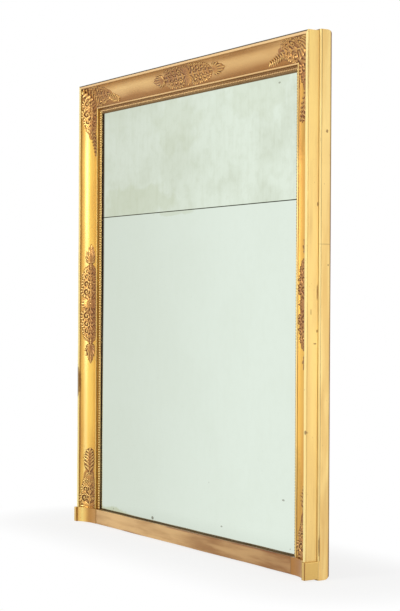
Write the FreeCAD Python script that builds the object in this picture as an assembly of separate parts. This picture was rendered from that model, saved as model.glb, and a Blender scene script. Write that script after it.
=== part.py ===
import FreeCAD, Part
import math
import os
from FreeCAD import Vector

# A gilt overmantel mirror: a moulded and gilded front with applied ornaments, glued and dowelled to a
# plain pine carcass that holds two mirror plates, backboards and two ring hangers.
# Millimetres. X runs across, the front faces -Y and +Z is up. The origin is on the wall plane, in the
# middle of the carcass's lower edge. On the moulding, u runs inwards from its outer side and v runs
# back from the face of its fillet.

# Moulded front
FRONT_WIDTH = 1310.0            # outer side to outer side of the moulding
FRONT_HEIGHT = 1502.0           # underside of the base to the top of the moulding
FRONT_DEPTH = 40.0              # fillet face to the carcass
FILLET_WIDTH = 11.0             # flat outer member
QUIRK_DEPTH = 3.0               # step from the fillet down to the cove
COVE_SPAN = 67.0                # cove, outer edge to inner edge
COVE_DEEPEST = 50.0             # cove's outer edge to its deepest line
COVE_WALL = 7.0                 # wood left behind the deepest line
COVE_RISE = 4.0                 # deepest line up to the cove's inner edge
ASTRAGAL_WIDTH = 6.0            # small raised member inside the cove
ASTRAGAL_HEIGHT = 2.5
KEY_THICKNESS = 3.0             # feather keys in the top mitres
KEY_LEG = 30.0
KEY_ROOM = 0.4                  # room in a slot beyond its key's long side
KEY_COVER = 4.0                 # wood between a key and the outer sides
KEY_SETBACK = 24.0              # fillet face to a key

# Bead strip round the sight
STRIP_WIDTH = 13.0
STRIP_THICKNESS = 6.0
STRIP_MARGIN = 4.0              # flat between the astragal and the beads
BEAD_RADIUS = 4.0
SIGHT_LIP = 4.0                 # strip's thickness at the sight edge

# Black slip between the bead strip and the glass
REVEAL_WIDTH = 5.0
REVEAL_OUTER = 3.2              # thickness beside the strip
REVEAL_INNER = 0.8              # thickness at the inner edge

# Base
BASE_HEIGHT = 49.0
BASE_RAISE = 4.0                # underside of the base above the carcass's feet
BASE_RECESS = 22.0              # fillet face back to the base rail's face
BLOCK_WIDTH = 103.0
BLOCK_FORWARD = 7.5             # block's face in front of the fillet face
BLOCK_FILLET = 13.0
BLOCK_QUIRK = 6.0               # step from the block's fillet down to its hollow face
BLOCK_HOLLOW = 8.0              # how far the block's curved face dips below a straight slope
BLOCK_PROUD = 1.0               # block's inner end in front of the base rail

# Ornaments, pressed in composition and glued on the cove
RELIEF = 6.0
GLUE_LINE = 0.4
CENTRE_LENGTH = 410.0
CENTRE_BODY_LENGTH = 270.0
CENTRE_EDGE_GAP = 3.5           # cove's edge to the body's widest place
STEM_WIDTH = 14.0
STEM_SWELL = 7.0                # how far a stem bows out on each side
STEM_LAP = 31.0                 # how far a stem runs into an end leaf
END_LEAF_LENGTH = 92.0
END_LEAF_WIDTH = 34.0
CORNER_STILE_LENGTH = 255.0     # outer corner to the tip of the leg on the stile
CORNER_RAIL_LENGTH = 235.0      # the same on the top rail
CORNER_BODY_LENGTH = 168.0
CORNER_EDGE_GAP = 2.5           # cove's edge to the body's widest place
CORNER_END_GAP = 4.5            # cove's edge to the body's ends
CORNER_TIP_WIDTH = 26.0
FOOT_LENGTH = 205.0             # base top to the leaf's tip
FOOT_BODY_LENGTH = 150.0
FOOT_EDGE_GAP = 3.5             # cove's edge to the body's widest place
FOOT_END_GAP = 10.5             # cove's edge to the body's ends
FOOT_LEAF_WIDTH = 38.0

# Mirror plates
PLATE_THICKNESS = 5.0
PLATE_OVERLAP = 10.0            # plate hidden behind the sight edge
PLATE_CLEARANCE = 2.0           # room round the plates
PLATE_JOINT_HEIGHT = 1045.0     # underside of the base to the joint between the plates
PLATE_ARRIS = 1.0               # ground edge along the joint
PLATE_BACK_GAP = 1.0            # back of the plates to the cross rail

# Carcass
CARCASS_DEPTH = 38.0
CARCASS_OVERHANG = 6.0          # carcass beyond the moulding at the sides
CARCASS_RISE = 4.0              # carcass above the moulding's top
CARCASS_ROUND = 5.0             # rounded front edge of the stiles
BACK_ROUND = 3.0                # rounded back edge of the stiles
HEEL_RADIUS = 18.0              # rounded lower back corner of the stiles
HEAD_RADIUS = 14.0              # rounded upper back corner of the stiles
CROSS_RAIL_HEIGHT = 100.0
CROSS_RAIL_RECESS = 12.0        # wall plane to the back of the cross rail
TENON_LENGTH = 45.0
TENON_THICKNESS = 12.0
TENON_SHOULDER = 8.0            # rail's edge to its tenon
CROSS_TENON_THICKNESS = 8.0
TENON_CLEARANCE = 0.2
PEG_DIAMETER = 8.0
PEG_SPACING = 34.0              # between the two pegs of a tall tenon
PEG_SETBACK = 1.5               # wall plane to a peg's end
PEG_COVER = 4.0                 # wood left in front of a peg
DOWEL_DIAMETER = 10.0
DOWEL_LENGTH = 20.0
DOWEL_INSET = 10.0              # outer side of the moulding to a dowel
DOWEL_PITCH = 380.0
FIT_CLEARANCE = 0.1             # round pegs, dowels, screws and keys

# Backboards
BOARD_THICKNESS = 10.0
BOARD_SETBACK = 16.0            # wall plane to the boards
BOARD_LEDGE = 12.0              # ledge that a board lies on
BOARD_CLEARANCE = 1.0
UPPER_BOARDS = 2
LOWER_BOARDS = 4
NAIL_DIAMETER = 2.2
NAIL_LENGTH = 18.0
NAIL_HEAD_DIAMETER = 5.0
NAIL_HEAD_THICKNESS = 0.8
NAILS_PER_END = 2

# What holds the plates
WEDGE_LENGTH = 60.0
WEDGE_WIDTH = 14.0
WEDGE_GAP = 0.5                 # wedge to the backboards
LOWER_SIDE_WEDGES = 3           # beside the lower plate, on each side
UPPER_SIDE_WEDGES = 1           # beside the upper plate, on each side
RAIL_WEDGES = 3                 # along the bottom and along the top
SLIP_LENGTH = 80.0
SLIP_SPACING = 600.0

# Ring hangers
HANGER_SPACING = 800.0
STRAP_WIDTH = 22.0
STRAP_LENGTH = 58.0             # pin axis to the strap's lower end
STRAP_THICKNESS = 1.6
PIN_RISE = 28.0                 # pin axis above the plate joint
RING_WIRE = 4.0
RING_CLEARANCE = 0.35
RING_SIDE_GAP = 0.5             # end of the knuckle to the ring's bend
RING_BEND = 3.0
RING_LEG = 6.0
SCREW_DIAMETER = 3.6
SCREW_HEAD_DIAMETER = 7.4
SCREW_LENGTH = 14.0             # in the wood
SCREW_SPACING = 24.0
SCREW_END = 10.0                # strap's lower end to the lower screw
SLOT_WIDTH = 0.8
SLOT_DEPTH = 0.7

# Planes and edges that follow from these sizes
FAR = FRONT_WIDTH + FRONT_HEIGHT
HALF_FRONT = FRONT_WIDTH / 2
CARCASS_FRONT = -CARCASS_DEPTH
FRONT_FACE = CARCASS_FRONT - FRONT_DEPTH
BASE_BOTTOM = BASE_RAISE
BASE_TOP = BASE_BOTTOM + BASE_HEIGHT
FRONT_TOP = BASE_BOTTOM + FRONT_HEIGHT
MOULDING_WIDTH = FILLET_WIDTH + COVE_SPAN + ASTRAGAL_WIDTH
SIGHT_INSET = MOULDING_WIDTH + STRIP_WIDTH
SIGHT_HALF = HALF_FRONT - SIGHT_INSET
SIGHT_TOP = FRONT_TOP - SIGHT_INSET
CARCASS_HALF = HALF_FRONT + CARCASS_OVERHANG
CARCASS_TOP = FRONT_TOP + CARCASS_RISE
OPENING_HALF = SIGHT_HALF + PLATE_OVERLAP + PLATE_CLEARANCE
OPENING_BOTTOM = BASE_TOP - PLATE_OVERLAP - PLATE_CLEARANCE
OPENING_TOP = SIGHT_TOP + PLATE_OVERLAP + PLATE_CLEARANCE
LEDGE_BACK = -BOARD_SETBACK - BOARD_THICKNESS
BAY_HALF = OPENING_HALF + BOARD_LEDGE
BAY_BOTTOM = OPENING_BOTTOM - BOARD_LEDGE
BAY_TOP = OPENING_TOP + BOARD_LEDGE
PLATE_JOINT = BASE_BOTTOM + PLATE_JOINT_HEIGHT
PLATE_BACK = CARCASS_FRONT + PLATE_THICKNESS
CROSS_BOTTOM = PLATE_JOINT - CROSS_RAIL_HEIGHT / 2
CROSS_TOP = PLATE_JOINT + CROSS_RAIL_HEIGHT / 2
CROSS_BACK = -CROSS_RAIL_RECESS
PIN_RADIUS = RING_WIRE / 2
KNUCKLE_RADIUS = PIN_RADIUS + RING_CLEARANCE + STRAP_THICKNESS
PIN_Y = CROSS_BACK + KNUCKLE_RADIUS
PIN_Z = PLATE_JOINT + PIN_RISE


def box(x, y, z):
    """Block between two limits along each axis."""
    return Part.makeBox(x[1] - x[0], y[1] - y[0], z[1] - z[0], Vector(x[0], y[0], z[0]))


def rod(diameter, y, x, z):
    """Round bar along Y between two limits, on the axis at x, z."""
    return Part.makeCylinder(diameter / 2, y[1] - y[0], Vector(x, y[0], z), Vector(0, 1, 0))


def face(place, start, *steps):
    """Closed outline: a step of two numbers is a line to that point, one of four an arc through a point."""
    edges = []
    here = place(*start)
    closed = steps[-1][-2:] == start
    for step in steps if closed else steps + (start,):
        end = place(*step[-2:])
        if len(step) == 4:
            edges.append(Part.Arc(here, place(*step[:2]), end).toShape())
        else:
            edges.append(Part.LineSegment(here, end).toShape())
        here = end
    return Part.Face(Part.Wire(edges))


def mirrored(shape):
    """The same shape on the other side of the middle plane."""
    return shape.mirror(Vector(0, 0, 0), Vector(1, 0, 0))


def both(shape):
    """A shape and its mirror image."""
    return [shape, mirrored(shape)]


def evenly(low, high, count):
    """Middles of equal lengths between two limits."""
    step = (high - low) / count
    return [low + step * (index + 0.5) for index in range(count)]


def in_section(u, v):
    """Point of the left stile's section, in plan."""
    return Vector(u - HALF_FRONT, FRONT_FACE + v, 0)


def on_face(u, s):
    """Point of an ornament's outline in the plane of the left stile's fillet, s along the stile."""
    return Vector(u - HALF_FRONT, FRONT_FACE, s)


def raised(section, low, high):
    """A plan section carried up from one height to another."""
    section.translate(Vector(0, 0, low))
    return section.extrude(Vector(0, 0, high - low))


def below_mitre(shape):
    """The part of a left stile's piece under the left top mitre."""
    corner = Vector(-HALF_FRONT, 0, FRONT_TOP)
    side = [corner, corner + Vector(FAR, 0, -FAR), corner + Vector(0, 0, -FAR)]
    wedge = Part.Face(Part.makePolygon(side + [corner]))
    wedge.translate(Vector(0, -FAR, 0))
    return shape.common(wedge.extrude(Vector(0, 2 * FAR, 0)))


def across_mitre(shape):
    """Mirror image of a left stile's piece across the left top mitre, so that it lies on the top rail."""
    return shape.mirror(Vector(-HALF_FRONT, 0, FRONT_TOP), Vector(1, 0, 1).normalize())


def between_mitres(half):
    """A top rail's piece made whole from its left half."""
    left = half.common(box((-FAR, 0), (-FAR, FAR), (0, FAR)))
    return left.fuse(mirrored(left)).removeSplitter()


def stile_piece(section):
    """A section carried up the left stile from the base to the mitre."""
    return below_mitre(raised(section, BASE_TOP, FRONT_TOP))


def rail_piece(section):
    """A section carried along the top rail between its mitres."""
    return between_mitres(across_mitre(below_mitre(raised(section, FRONT_TOP - FAR, FRONT_TOP))))


# Cove: one arc through its outer edge, its deepest line and its inner edge
COVE_INNER = FILLET_WIDTH + COVE_SPAN
COVE_BOTTOM = FRONT_DEPTH - COVE_WALL
COVE_ARC = (FILLET_WIDTH + COVE_DEEPEST, COVE_BOTTOM, COVE_INNER, COVE_BOTTOM - COVE_RISE)


def moulding_section():
    """Fillet, quirk, cove and astragal on a flat back."""
    astragal = COVE_BOTTOM - COVE_RISE - ASTRAGAL_HEIGHT
    return face(
        in_section,
        (0, 0),
        (FILLET_WIDTH, 0),
        (FILLET_WIDTH, QUIRK_DEPTH),
        COVE_ARC,
        (COVE_INNER, astragal),
        (MOULDING_WIDTH, astragal),
        (MOULDING_WIDTH, FRONT_DEPTH),
        (0, FRONT_DEPTH),
    )


def strip_section():
    """Flat strip with a half-round bead and a slope down to the sight edge."""
    flat = FRONT_DEPTH - STRIP_THICKNESS
    bead = MOULDING_WIDTH + STRIP_MARGIN
    return face(
        in_section,
        (MOULDING_WIDTH, FRONT_DEPTH),
        (MOULDING_WIDTH, flat),
        (bead, flat),
        (bead + BEAD_RADIUS, flat - BEAD_RADIUS, bead + 2 * BEAD_RADIUS, flat),
        (SIGHT_INSET, FRONT_DEPTH - SIGHT_LIP),
        (SIGHT_INSET, FRONT_DEPTH),
    )


def reveal_section():
    """Bevelled slip that lies on the glass along the strip's inner edge."""
    inner = SIGHT_INSET + REVEAL_WIDTH
    return face(
        in_section,
        (SIGHT_INSET, FRONT_DEPTH),
        (SIGHT_INSET, FRONT_DEPTH - REVEAL_OUTER),
        (inner, FRONT_DEPTH - REVEAL_INNER),
        (inner, FRONT_DEPTH),
    )


def block_section():
    """Base block in plan: fillet, small step and a hollow face down to the base rail."""
    outer = -CARCASS_OVERHANG
    inner = outer + BLOCK_WIDTH
    edge = outer + BLOCK_FILLET
    start = BLOCK_QUIRK - BLOCK_FORWARD
    end = BASE_RECESS - BLOCK_PROUD
    return face(
        in_section,
        (outer, -BLOCK_FORWARD),
        (edge, -BLOCK_FORWARD),
        (edge, start),
        ((edge + inner) / 2, (start + end) / 2 + BLOCK_HOLLOW, inner, end),
        (inner, FRONT_DEPTH),
        (outer, FRONT_DEPTH),
    )


def cove_skin():
    """Section of an ornament's full width: a band that follows the cove, a glue line off it."""
    edge = in_section(FILLET_WIDTH, QUIRK_DEPTH)
    cove = Part.Arc(edge, in_section(*COVE_ARC[:2]), in_section(*COVE_ARC[2:])).toShape().Curve
    plane = Vector(0, 0, 1)
    back = Part.Face(Part.Wire(Part.Circle(cove.Center, plane, cove.Radius - GLUE_LINE).toShape()))
    front = Part.Face(Part.Wire(Part.Circle(cove.Center, plane, cove.Radius - GLUE_LINE - RELIEF).toShape()))
    return back.cut(front)


def leaf(low, high, middle, width):
    """Pointed leaf outline along the stile between two heights."""
    centre = (low + high) / 2
    return face(
        on_face,
        (middle, low),
        (middle + width / 2, centre, middle, high),
        (middle - width / 2, centre, middle, low),
    )


def lozenge(low, high, middle, width, end_width):
    """Full body outline with bowed sides and straight ends."""
    centre = (low + high) / 2
    return face(
        on_face,
        (middle - end_width / 2, low),
        (middle + end_width / 2, low),
        (middle + width / 2, centre, middle + end_width / 2, high),
        (middle - end_width / 2, high),
        (middle - width / 2, centre, middle - end_width / 2, low),
    )


def relief(outlines, low, high):
    """Ornament: the cove's skin between two heights, inside the outlines and behind the fillet's face."""
    skin = raised(cove_skin(), low, high)
    prisms = [outline.extrude(Vector(0, FRONT_DEPTH, 0)) for outline in outlines]
    shape = prisms[0].multiFuse(prisms[1:]).removeSplitter()
    return skin.common(shape)


COVE_MIDDLE = FILLET_WIDTH + COVE_SPAN / 2


def within_cove(gap):
    """Width that leaves a gap to both edges of the cove."""
    return COVE_SPAN - 2 * gap


def centre_ornament():
    """Long ornament on the left stile: a full body, a stem and a leaf at each end."""
    middle = (BASE_BOTTOM + FRONT_TOP) / 2
    reach = CENTRE_LENGTH / 2
    body = CENTRE_BODY_LENGTH / 2
    leaf_start = reach - END_LEAF_LENGTH
    stem = leaf_start + STEM_LAP
    swollen = STEM_WIDTH + 2 * STEM_SWELL
    outlines = [
        lozenge(middle - body, middle + body, COVE_MIDDLE, within_cove(CENTRE_EDGE_GAP), STEM_WIDTH),
        lozenge(middle - stem, middle + stem, COVE_MIDDLE, swollen, STEM_WIDTH),
        leaf(middle + leaf_start, middle + reach, COVE_MIDDLE, END_LEAF_WIDTH),
        leaf(middle - reach, middle - leaf_start, COVE_MIDDLE, END_LEAF_WIDTH),
    ]
    return relief(outlines, middle - reach, middle + reach)


def corner_leg(length):
    """Leg of a corner ornament down the left stile: a full body with a tip along the inner edge."""
    tip = FRONT_TOP - length
    body = FRONT_TOP - CORNER_BODY_LENGTH
    tip_middle = COVE_INNER - CORNER_EDGE_GAP - CORNER_TIP_WIDTH / 2
    widest, ends = within_cove(CORNER_EDGE_GAP), within_cove(CORNER_END_GAP)
    outlines = [
        lozenge(body, FRONT_TOP, COVE_MIDDLE, widest, ends),
        leaf(tip, 2 * body - tip, tip_middle, CORNER_TIP_WIDTH),
    ]
    return below_mitre(relief(outlines, tip, FRONT_TOP))


def corner_ornament():
    """Two legs that meet on the left top mitre, one down the stile and one along the top rail."""
    stile_leg, rail_leg = corner_leg(CORNER_STILE_LENGTH), corner_leg(CORNER_RAIL_LENGTH)
    return stile_leg.fuse(across_mitre(rail_leg)).removeSplitter()


def foot_ornament():
    """Leaf that grows up the left stile from the base block."""
    body_top = BASE_TOP + FOOT_BODY_LENGTH
    leaf_low = body_top - (FOOT_LENGTH - FOOT_BODY_LENGTH)
    widest, ends = within_cove(FOOT_EDGE_GAP), within_cove(FOOT_END_GAP)
    outlines = [
        lozenge(BASE_TOP, leaf_low, COVE_MIDDLE, widest, ends),
        lozenge(leaf_low, body_top, COVE_MIDDLE, ends, STEM_WIDTH),
        leaf(leaf_low, BASE_TOP + FOOT_LENGTH, COVE_MIDDLE, FOOT_LEAF_WIDTH),
    ]
    return relief(outlines, BASE_TOP, BASE_TOP + FOOT_LENGTH)


def onto_top_rail(shape):
    """A left stile's centre ornament turned onto the middle of the top rail."""
    turned = shape.copy()
    turned.translate(Vector(HALF_FRONT, 0, -(BASE_BOTTOM + FRONT_TOP) / 2))
    turned.rotate(Vector(0, 0, 0), Vector(0, 1, 0), 90)
    turned.translate(Vector(0, 0, FRONT_TOP))
    return turned


def mitre_key():
    """Three-cornered feather across the left top mitre, inside the outer members."""
    y = FRONT_FACE + KEY_SETBACK
    corner = Vector(-HALF_FRONT + KEY_COVER, y, FRONT_TOP - KEY_COVER)
    points = [corner, corner + Vector(KEY_LEG, 0, 0), corner - Vector(0, 0, KEY_LEG), corner]
    return Part.Face(Part.makePolygon(points)).extrude(Vector(0, KEY_THICKNESS, 0))


def key_slot():
    """Room for the left mitre key."""
    y = FRONT_FACE + KEY_SETBACK - FIT_CLEARANCE
    near = KEY_COVER - FIT_CLEARANCE
    leg = KEY_LEG + KEY_ROOM
    corner = Vector(-HALF_FRONT + near, y, FRONT_TOP - near)
    points = [corner, corner + Vector(leg, 0, 0), corner - Vector(0, 0, leg), corner]
    return Part.Face(Part.makePolygon(points)).extrude(Vector(0, KEY_THICKNESS + 2 * FIT_CLEARANCE, 0))


def dowel_places():
    """Where dowels tie the stile mouldings, top rail, base rail and blocks to the carcass."""
    side = HALF_FRONT - DOWEL_INSET
    stile_count = round((FRONT_TOP - BASE_TOP) / DOWEL_PITCH)
    rail_count = round(FRONT_WIDTH / DOWEL_PITCH)
    base_z = (BASE_BOTTOM + OPENING_BOTTOM) / 2
    block_x = CARCASS_HALF - BLOCK_WIDTH / 2
    stile_z = evenly(BASE_TOP, FRONT_TOP, stile_count)
    rail_x = evenly(-HALF_FRONT, HALF_FRONT, rail_count)
    base_x = evenly(BLOCK_WIDTH - CARCASS_HALF, CARCASS_HALF - BLOCK_WIDTH, rail_count)
    places = [(sign * side, z) for sign in (-1, 1) for z in stile_z]
    places += [(x, FRONT_TOP - DOWEL_INSET) for x in rail_x]
    places += [(x, base_z) for x in base_x]
    places += [(sign * block_x, base_z) for sign in (-1, 1)]
    return places


def dowels(gap):
    """All the dowels, half in the front and half in the carcass, with room round them for their holes."""
    reach = DOWEL_LENGTH / 2 + gap
    limits = (CARCASS_FRONT - reach, CARCASS_FRONT + reach)
    return Part.makeCompound([rod(DOWEL_DIAMETER + 2 * gap, limits, x, z) for x, z in dowel_places()])


def tenon_heights():
    """Lower and upper edge of each carcass tenon: bottom, cross and top rail."""
    return [
        (TENON_SHOULDER, BAY_BOTTOM - TENON_SHOULDER),
        (CROSS_BOTTOM + BOARD_LEDGE + TENON_SHOULDER, CROSS_TOP - BOARD_LEDGE - TENON_SHOULDER),
        (BAY_TOP + TENON_SHOULDER, CARCASS_TOP - TENON_SHOULDER),
    ]


def tenon(heights, thickness, back, gap):
    """Tenon at a rail's left end, centred between the ledge and the rail's back."""
    middle = (LEDGE_BACK + back) / 2
    half = thickness / 2 + gap
    x = (-BAY_HALF - TENON_LENGTH - gap, -BAY_HALF)
    return box(x, (middle - half, middle + half), (heights[0] - gap, heights[1] + gap))


def tenons(gap):
    """The three tenons at the left ends of the bottom, cross and top rails."""
    low, cross, high = tenon_heights()
    return [
        tenon(low, TENON_THICKNESS, 0, gap),
        tenon(cross, CROSS_TENON_THICKNESS, CROSS_BACK, gap),
        tenon(high, TENON_THICKNESS, 0, gap),
    ]


def pegs(gap):
    """Pegs through the left stile and its tenons, two in a tall tenon."""
    x = -BAY_HALF - TENON_LENGTH / 2
    limits = (CARCASS_FRONT + PEG_COVER - gap, -PEG_SETBACK + gap)
    shapes = []
    for low, high in tenon_heights():
        tall = high - low > PEG_SPACING + 2 * PEG_DIAMETER
        offsets = (-PEG_SPACING / 2, PEG_SPACING / 2) if tall else (0,)
        for offset in offsets:
            shapes.append(rod(PEG_DIAMETER + 2 * gap, limits, x, (low + high) / 2 + offset))
    return Part.makeCompound(shapes)


def corner_waste(end, inwards, radius):
    """Waste outside a rounded back corner of a stile, at its lower or upper end."""
    x = (-FAR, FAR)
    centre = end + inwards * radius
    square = box(x, (-radius, 0), sorted((end, centre)))
    bar = Part.makeCylinder(radius, 2 * FAR, Vector(-FAR, -radius, centre), Vector(1, 0, 0))
    return square.cut(bar)


def edge_waste(corner, inwards, radius, low):
    """Waste outside a rounded outer edge of the left stile, above a height; inwards is the way into it."""
    x = (-CARCASS_HALF, -CARCASS_HALF + radius)
    centre = corner + inwards * radius
    bar = Part.makeCylinder(radius, CARCASS_TOP, Vector(x[1], centre, 0))
    return box(x, sorted((corner, centre)), (low, CARCASS_TOP)).cut(bar)


def carcass_stile():
    """Left stile: ledge inside, rounded outer edges and back corners, mortises for the rails."""
    ledge = box((-CARCASS_HALF, -OPENING_HALF), (CARCASS_FRONT, LEDGE_BACK), (0, CARCASS_TOP))
    body = box((-CARCASS_HALF, -BAY_HALF), (LEDGE_BACK, 0), (0, CARCASS_TOP))
    front_edge = edge_waste(CARCASS_FRONT, 1, CARCASS_ROUND, BASE_TOP)
    back_edge = edge_waste(0, -1, BACK_ROUND, 0)
    corners = [corner_waste(0, 1, HEEL_RADIUS), corner_waste(CARCASS_TOP, -1, HEAD_RADIUS)]
    stile = ledge.fuse(body).removeSplitter().cut([front_edge, back_edge] + corners)
    return stile.cut(tenons(TENON_CLEARANCE) + [pegs(FIT_CLEARANCE)])


def carcass_rail(ledge_z, body_z, tenon_shape):
    """Rail between the stiles: a ledge part in front, a body behind it and a tenon at each end."""
    ledge = box((-OPENING_HALF, OPENING_HALF), (CARCASS_FRONT, LEDGE_BACK), ledge_z)
    body = box((-BAY_HALF, BAY_HALF), (LEDGE_BACK, 0), body_z)
    rail = ledge.fuse([body] + both(tenon_shape)).removeSplitter()
    return rail.cut(both(pegs(FIT_CLEARANCE)))


def cross_rail():
    """Rail behind the plate joint, set in from the wall plane, with ledges above and below."""
    front = PLATE_BACK + PLATE_BACK_GAP
    body_z = (CROSS_BOTTOM + BOARD_LEDGE, CROSS_TOP - BOARD_LEDGE)
    ledge = box((-OPENING_HALF, OPENING_HALF), (front, LEDGE_BACK), (CROSS_BOTTOM, CROSS_TOP))
    body = box((-BAY_HALF, BAY_HALF), (LEDGE_BACK, CROSS_BACK), body_z)
    rail = ledge.fuse([body] + both(tenons(0)[1])).removeSplitter()
    return rail.cut(both(pegs(FIT_CLEARANCE)) + both(strap_screws(FIT_CLEARANCE)))


def plate(low, high, joint, inwards):
    """Mirror plate with its front edge ground along the joint; inwards is the way from the joint into it."""
    half = SIGHT_HALF + PLATE_OVERLAP
    shape = box((-half, half), (CARCASS_FRONT, PLATE_BACK), (low, high))
    corner = Vector(-half, CARCASS_FRONT, joint)
    arris = [corner + Vector(0, PLATE_ARRIS, 0), corner + Vector(0, 0, inwards * PLATE_ARRIS)]
    waste = Part.Face(Part.makePolygon([corner] + arris + [corner]))
    return shape.cut(waste.extrude(Vector(2 * half, 0, 0)))


def setting_slips():
    """Two slips under the lower plate."""
    half = SLIP_LENGTH / 2
    middle = SLIP_SPACING / 2
    z = (OPENING_BOTTOM, OPENING_BOTTOM + PLATE_CLEARANCE)
    return both(box((middle - half, middle + half), (CARCASS_FRONT, PLATE_BACK), z))


def wedge(start, inwards, along):
    """Three-cornered block glued behind a plate, against the carcass edge."""
    height = LEDGE_BACK - WEDGE_GAP - PLATE_BACK
    points = [start, start + inwards * WEDGE_WIDTH, start + Vector(0, height, 0), start]
    outline = Part.Face(Part.makePolygon(points))
    outline.translate(along * (-WEDGE_LENGTH / 2))
    return outline.extrude(along * WEDGE_LENGTH)


def plate_wedges():
    """Wedges round both plates."""
    right, up = Vector(1, 0, 0), Vector(0, 0, 1)
    side_z = evenly(OPENING_BOTTOM, CROSS_BOTTOM, LOWER_SIDE_WEDGES)
    side_z += evenly(CROSS_TOP, OPENING_TOP, UPPER_SIDE_WEDGES)
    shapes = []
    for z in side_z:
        shapes += both(wedge(Vector(-OPENING_HALF, PLATE_BACK, z), right, up))
    for x in evenly(-OPENING_HALF, OPENING_HALF, RAIL_WEDGES):
        shapes.append(wedge(Vector(x, PLATE_BACK, OPENING_BOTTOM), up, right))
        shapes.append(wedge(Vector(x, PLATE_BACK, OPENING_TOP), -up, right))
    return shapes


def board_heights(low, high, count):
    """Limits of boards that fill a bay with a small gap at every edge."""
    step = (high - low) / count
    half = step / 2 - BOARD_CLEARANCE / 2
    return [(middle - half, middle + half) for middle in evenly(low, high, count)]


def board_nails(heights, gap):
    """Nails at both ends of a board, through the board into the ledge."""
    x = (OPENING_HALF + BAY_HALF) / 2
    shapes = []
    for z in evenly(heights[0], heights[1], NAILS_PER_END):
        shank = rod(NAIL_DIAMETER + 2 * gap, (-BOARD_SETBACK - NAIL_LENGTH - gap, -BOARD_SETBACK), x, z)
        head = rod(NAIL_HEAD_DIAMETER, (-BOARD_SETBACK, -BOARD_SETBACK + NAIL_HEAD_THICKNESS), x, z)
        shapes += both(shank if gap else shank.fuse(head).removeSplitter())
    return shapes


def backboard(heights, holes):
    """One board across the bay, bored for its nails."""
    half = BAY_HALF - BOARD_CLEARANCE
    return box((-half, half), (LEDGE_BACK, -BOARD_SETBACK), heights).cut(holes)


def strap_screw_heights():
    """Heights of the two screws of a strap."""
    low = PIN_Z - STRAP_LENGTH + SCREW_END
    return [low, low + SCREW_SPACING]


def strap_screws(gap):
    """Countersunk screws of the left strap."""
    x = -HANGER_SPACING / 2
    head_radius = SCREW_HEAD_DIAMETER / 2 + gap
    radius = SCREW_DIAMETER / 2 + gap
    face_y = CROSS_BACK + STRAP_THICKNESS
    back = Vector(0, -1, 0)
    shapes = []
    for z in strap_screw_heights():
        head = Part.makeCone(head_radius, radius, STRAP_THICKNESS, Vector(x, face_y, z), back)
        shank = Part.makeCylinder(radius, SCREW_LENGTH + gap, Vector(x, CROSS_BACK, z), back)
        screw = head.fuse(shank).removeSplitter()
        if not gap:
            slot_x = (x - SCREW_HEAD_DIAMETER, x + SCREW_HEAD_DIAMETER)
            slot_z = (z - SLOT_WIDTH / 2, z + SLOT_WIDTH / 2)
            screw = screw.cut(box(slot_x, (face_y - SLOT_DEPTH, face_y), slot_z))
        shapes.append(screw)
    return Part.makeCompound(shapes)


def hanger_strap():
    """Left strap: a flat plate rolled at the top into a knuckle for the ring's bar."""
    x = (-HANGER_SPACING / 2 - STRAP_WIDTH / 2, -HANGER_SPACING / 2 + STRAP_WIDTH / 2)
    plate_shape = box(x, (CROSS_BACK, CROSS_BACK + STRAP_THICKNESS), (PIN_Z - STRAP_LENGTH, PIN_Z))
    start, along = Vector(x[0], PIN_Y, PIN_Z), Vector(1, 0, 0)
    knuckle = Part.makeCylinder(KNUCKLE_RADIUS, STRAP_WIDTH, start, along)
    bore = Part.makeCylinder(PIN_RADIUS + RING_CLEARANCE, STRAP_WIDTH, start, along)
    return plate_shape.fuse(knuckle).removeSplitter().cut([bore, strap_screws(FIT_CLEARANCE)])


def hanging_ring():
    """Left ring: a bar in the knuckle, two legs and a half round, hanging straight down."""
    bar = STRAP_WIDTH / 2 + RING_SIDE_GAP
    half = bar + RING_BEND
    leg = RING_BEND + RING_LEG
    turn = RING_BEND * (1 - math.cos(math.pi / 4))

    def at(x, z):
        return Vector(x - HANGER_SPACING / 2, PIN_Y, PIN_Z + z)

    path = Part.Wire([
        Part.LineSegment(at(0, 0), at(bar, 0)).toShape(),
        Part.Arc(at(bar, 0), at(half - turn, -turn), at(half, -RING_BEND)).toShape(),
        Part.LineSegment(at(half, -RING_BEND), at(half, -leg)).toShape(),
        Part.Arc(at(half, -leg), at(0, -leg - half), at(-half, -leg)).toShape(),
        Part.LineSegment(at(-half, -leg), at(-half, -RING_BEND)).toShape(),
        Part.Arc(at(-half, -RING_BEND), at(turn - half, -turn), at(-bar, 0)).toShape(),
        Part.LineSegment(at(-bar, 0), at(0, 0)).toShape(),
    ])
    wire = Part.Wire(Part.Circle(at(0, 0), Vector(1, 0, 0), PIN_RADIUS).toShape())
    return path.makePipeShell([wire], True, True)


def save(name, shape):
    """Write one node."""
    shape.exportStep("parts/" + name + ".step")
    state = "valid" if shape.isValid() else "FAULT"
    print(name, len(shape.Solids), "solids", round(shape.Volume), "mm3", state)


def save_pair(name, shape):
    """Write a left node and its mirror image on the right."""
    save(name + "_left", shape)
    save(name + "_right", mirrored(shape))


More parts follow.
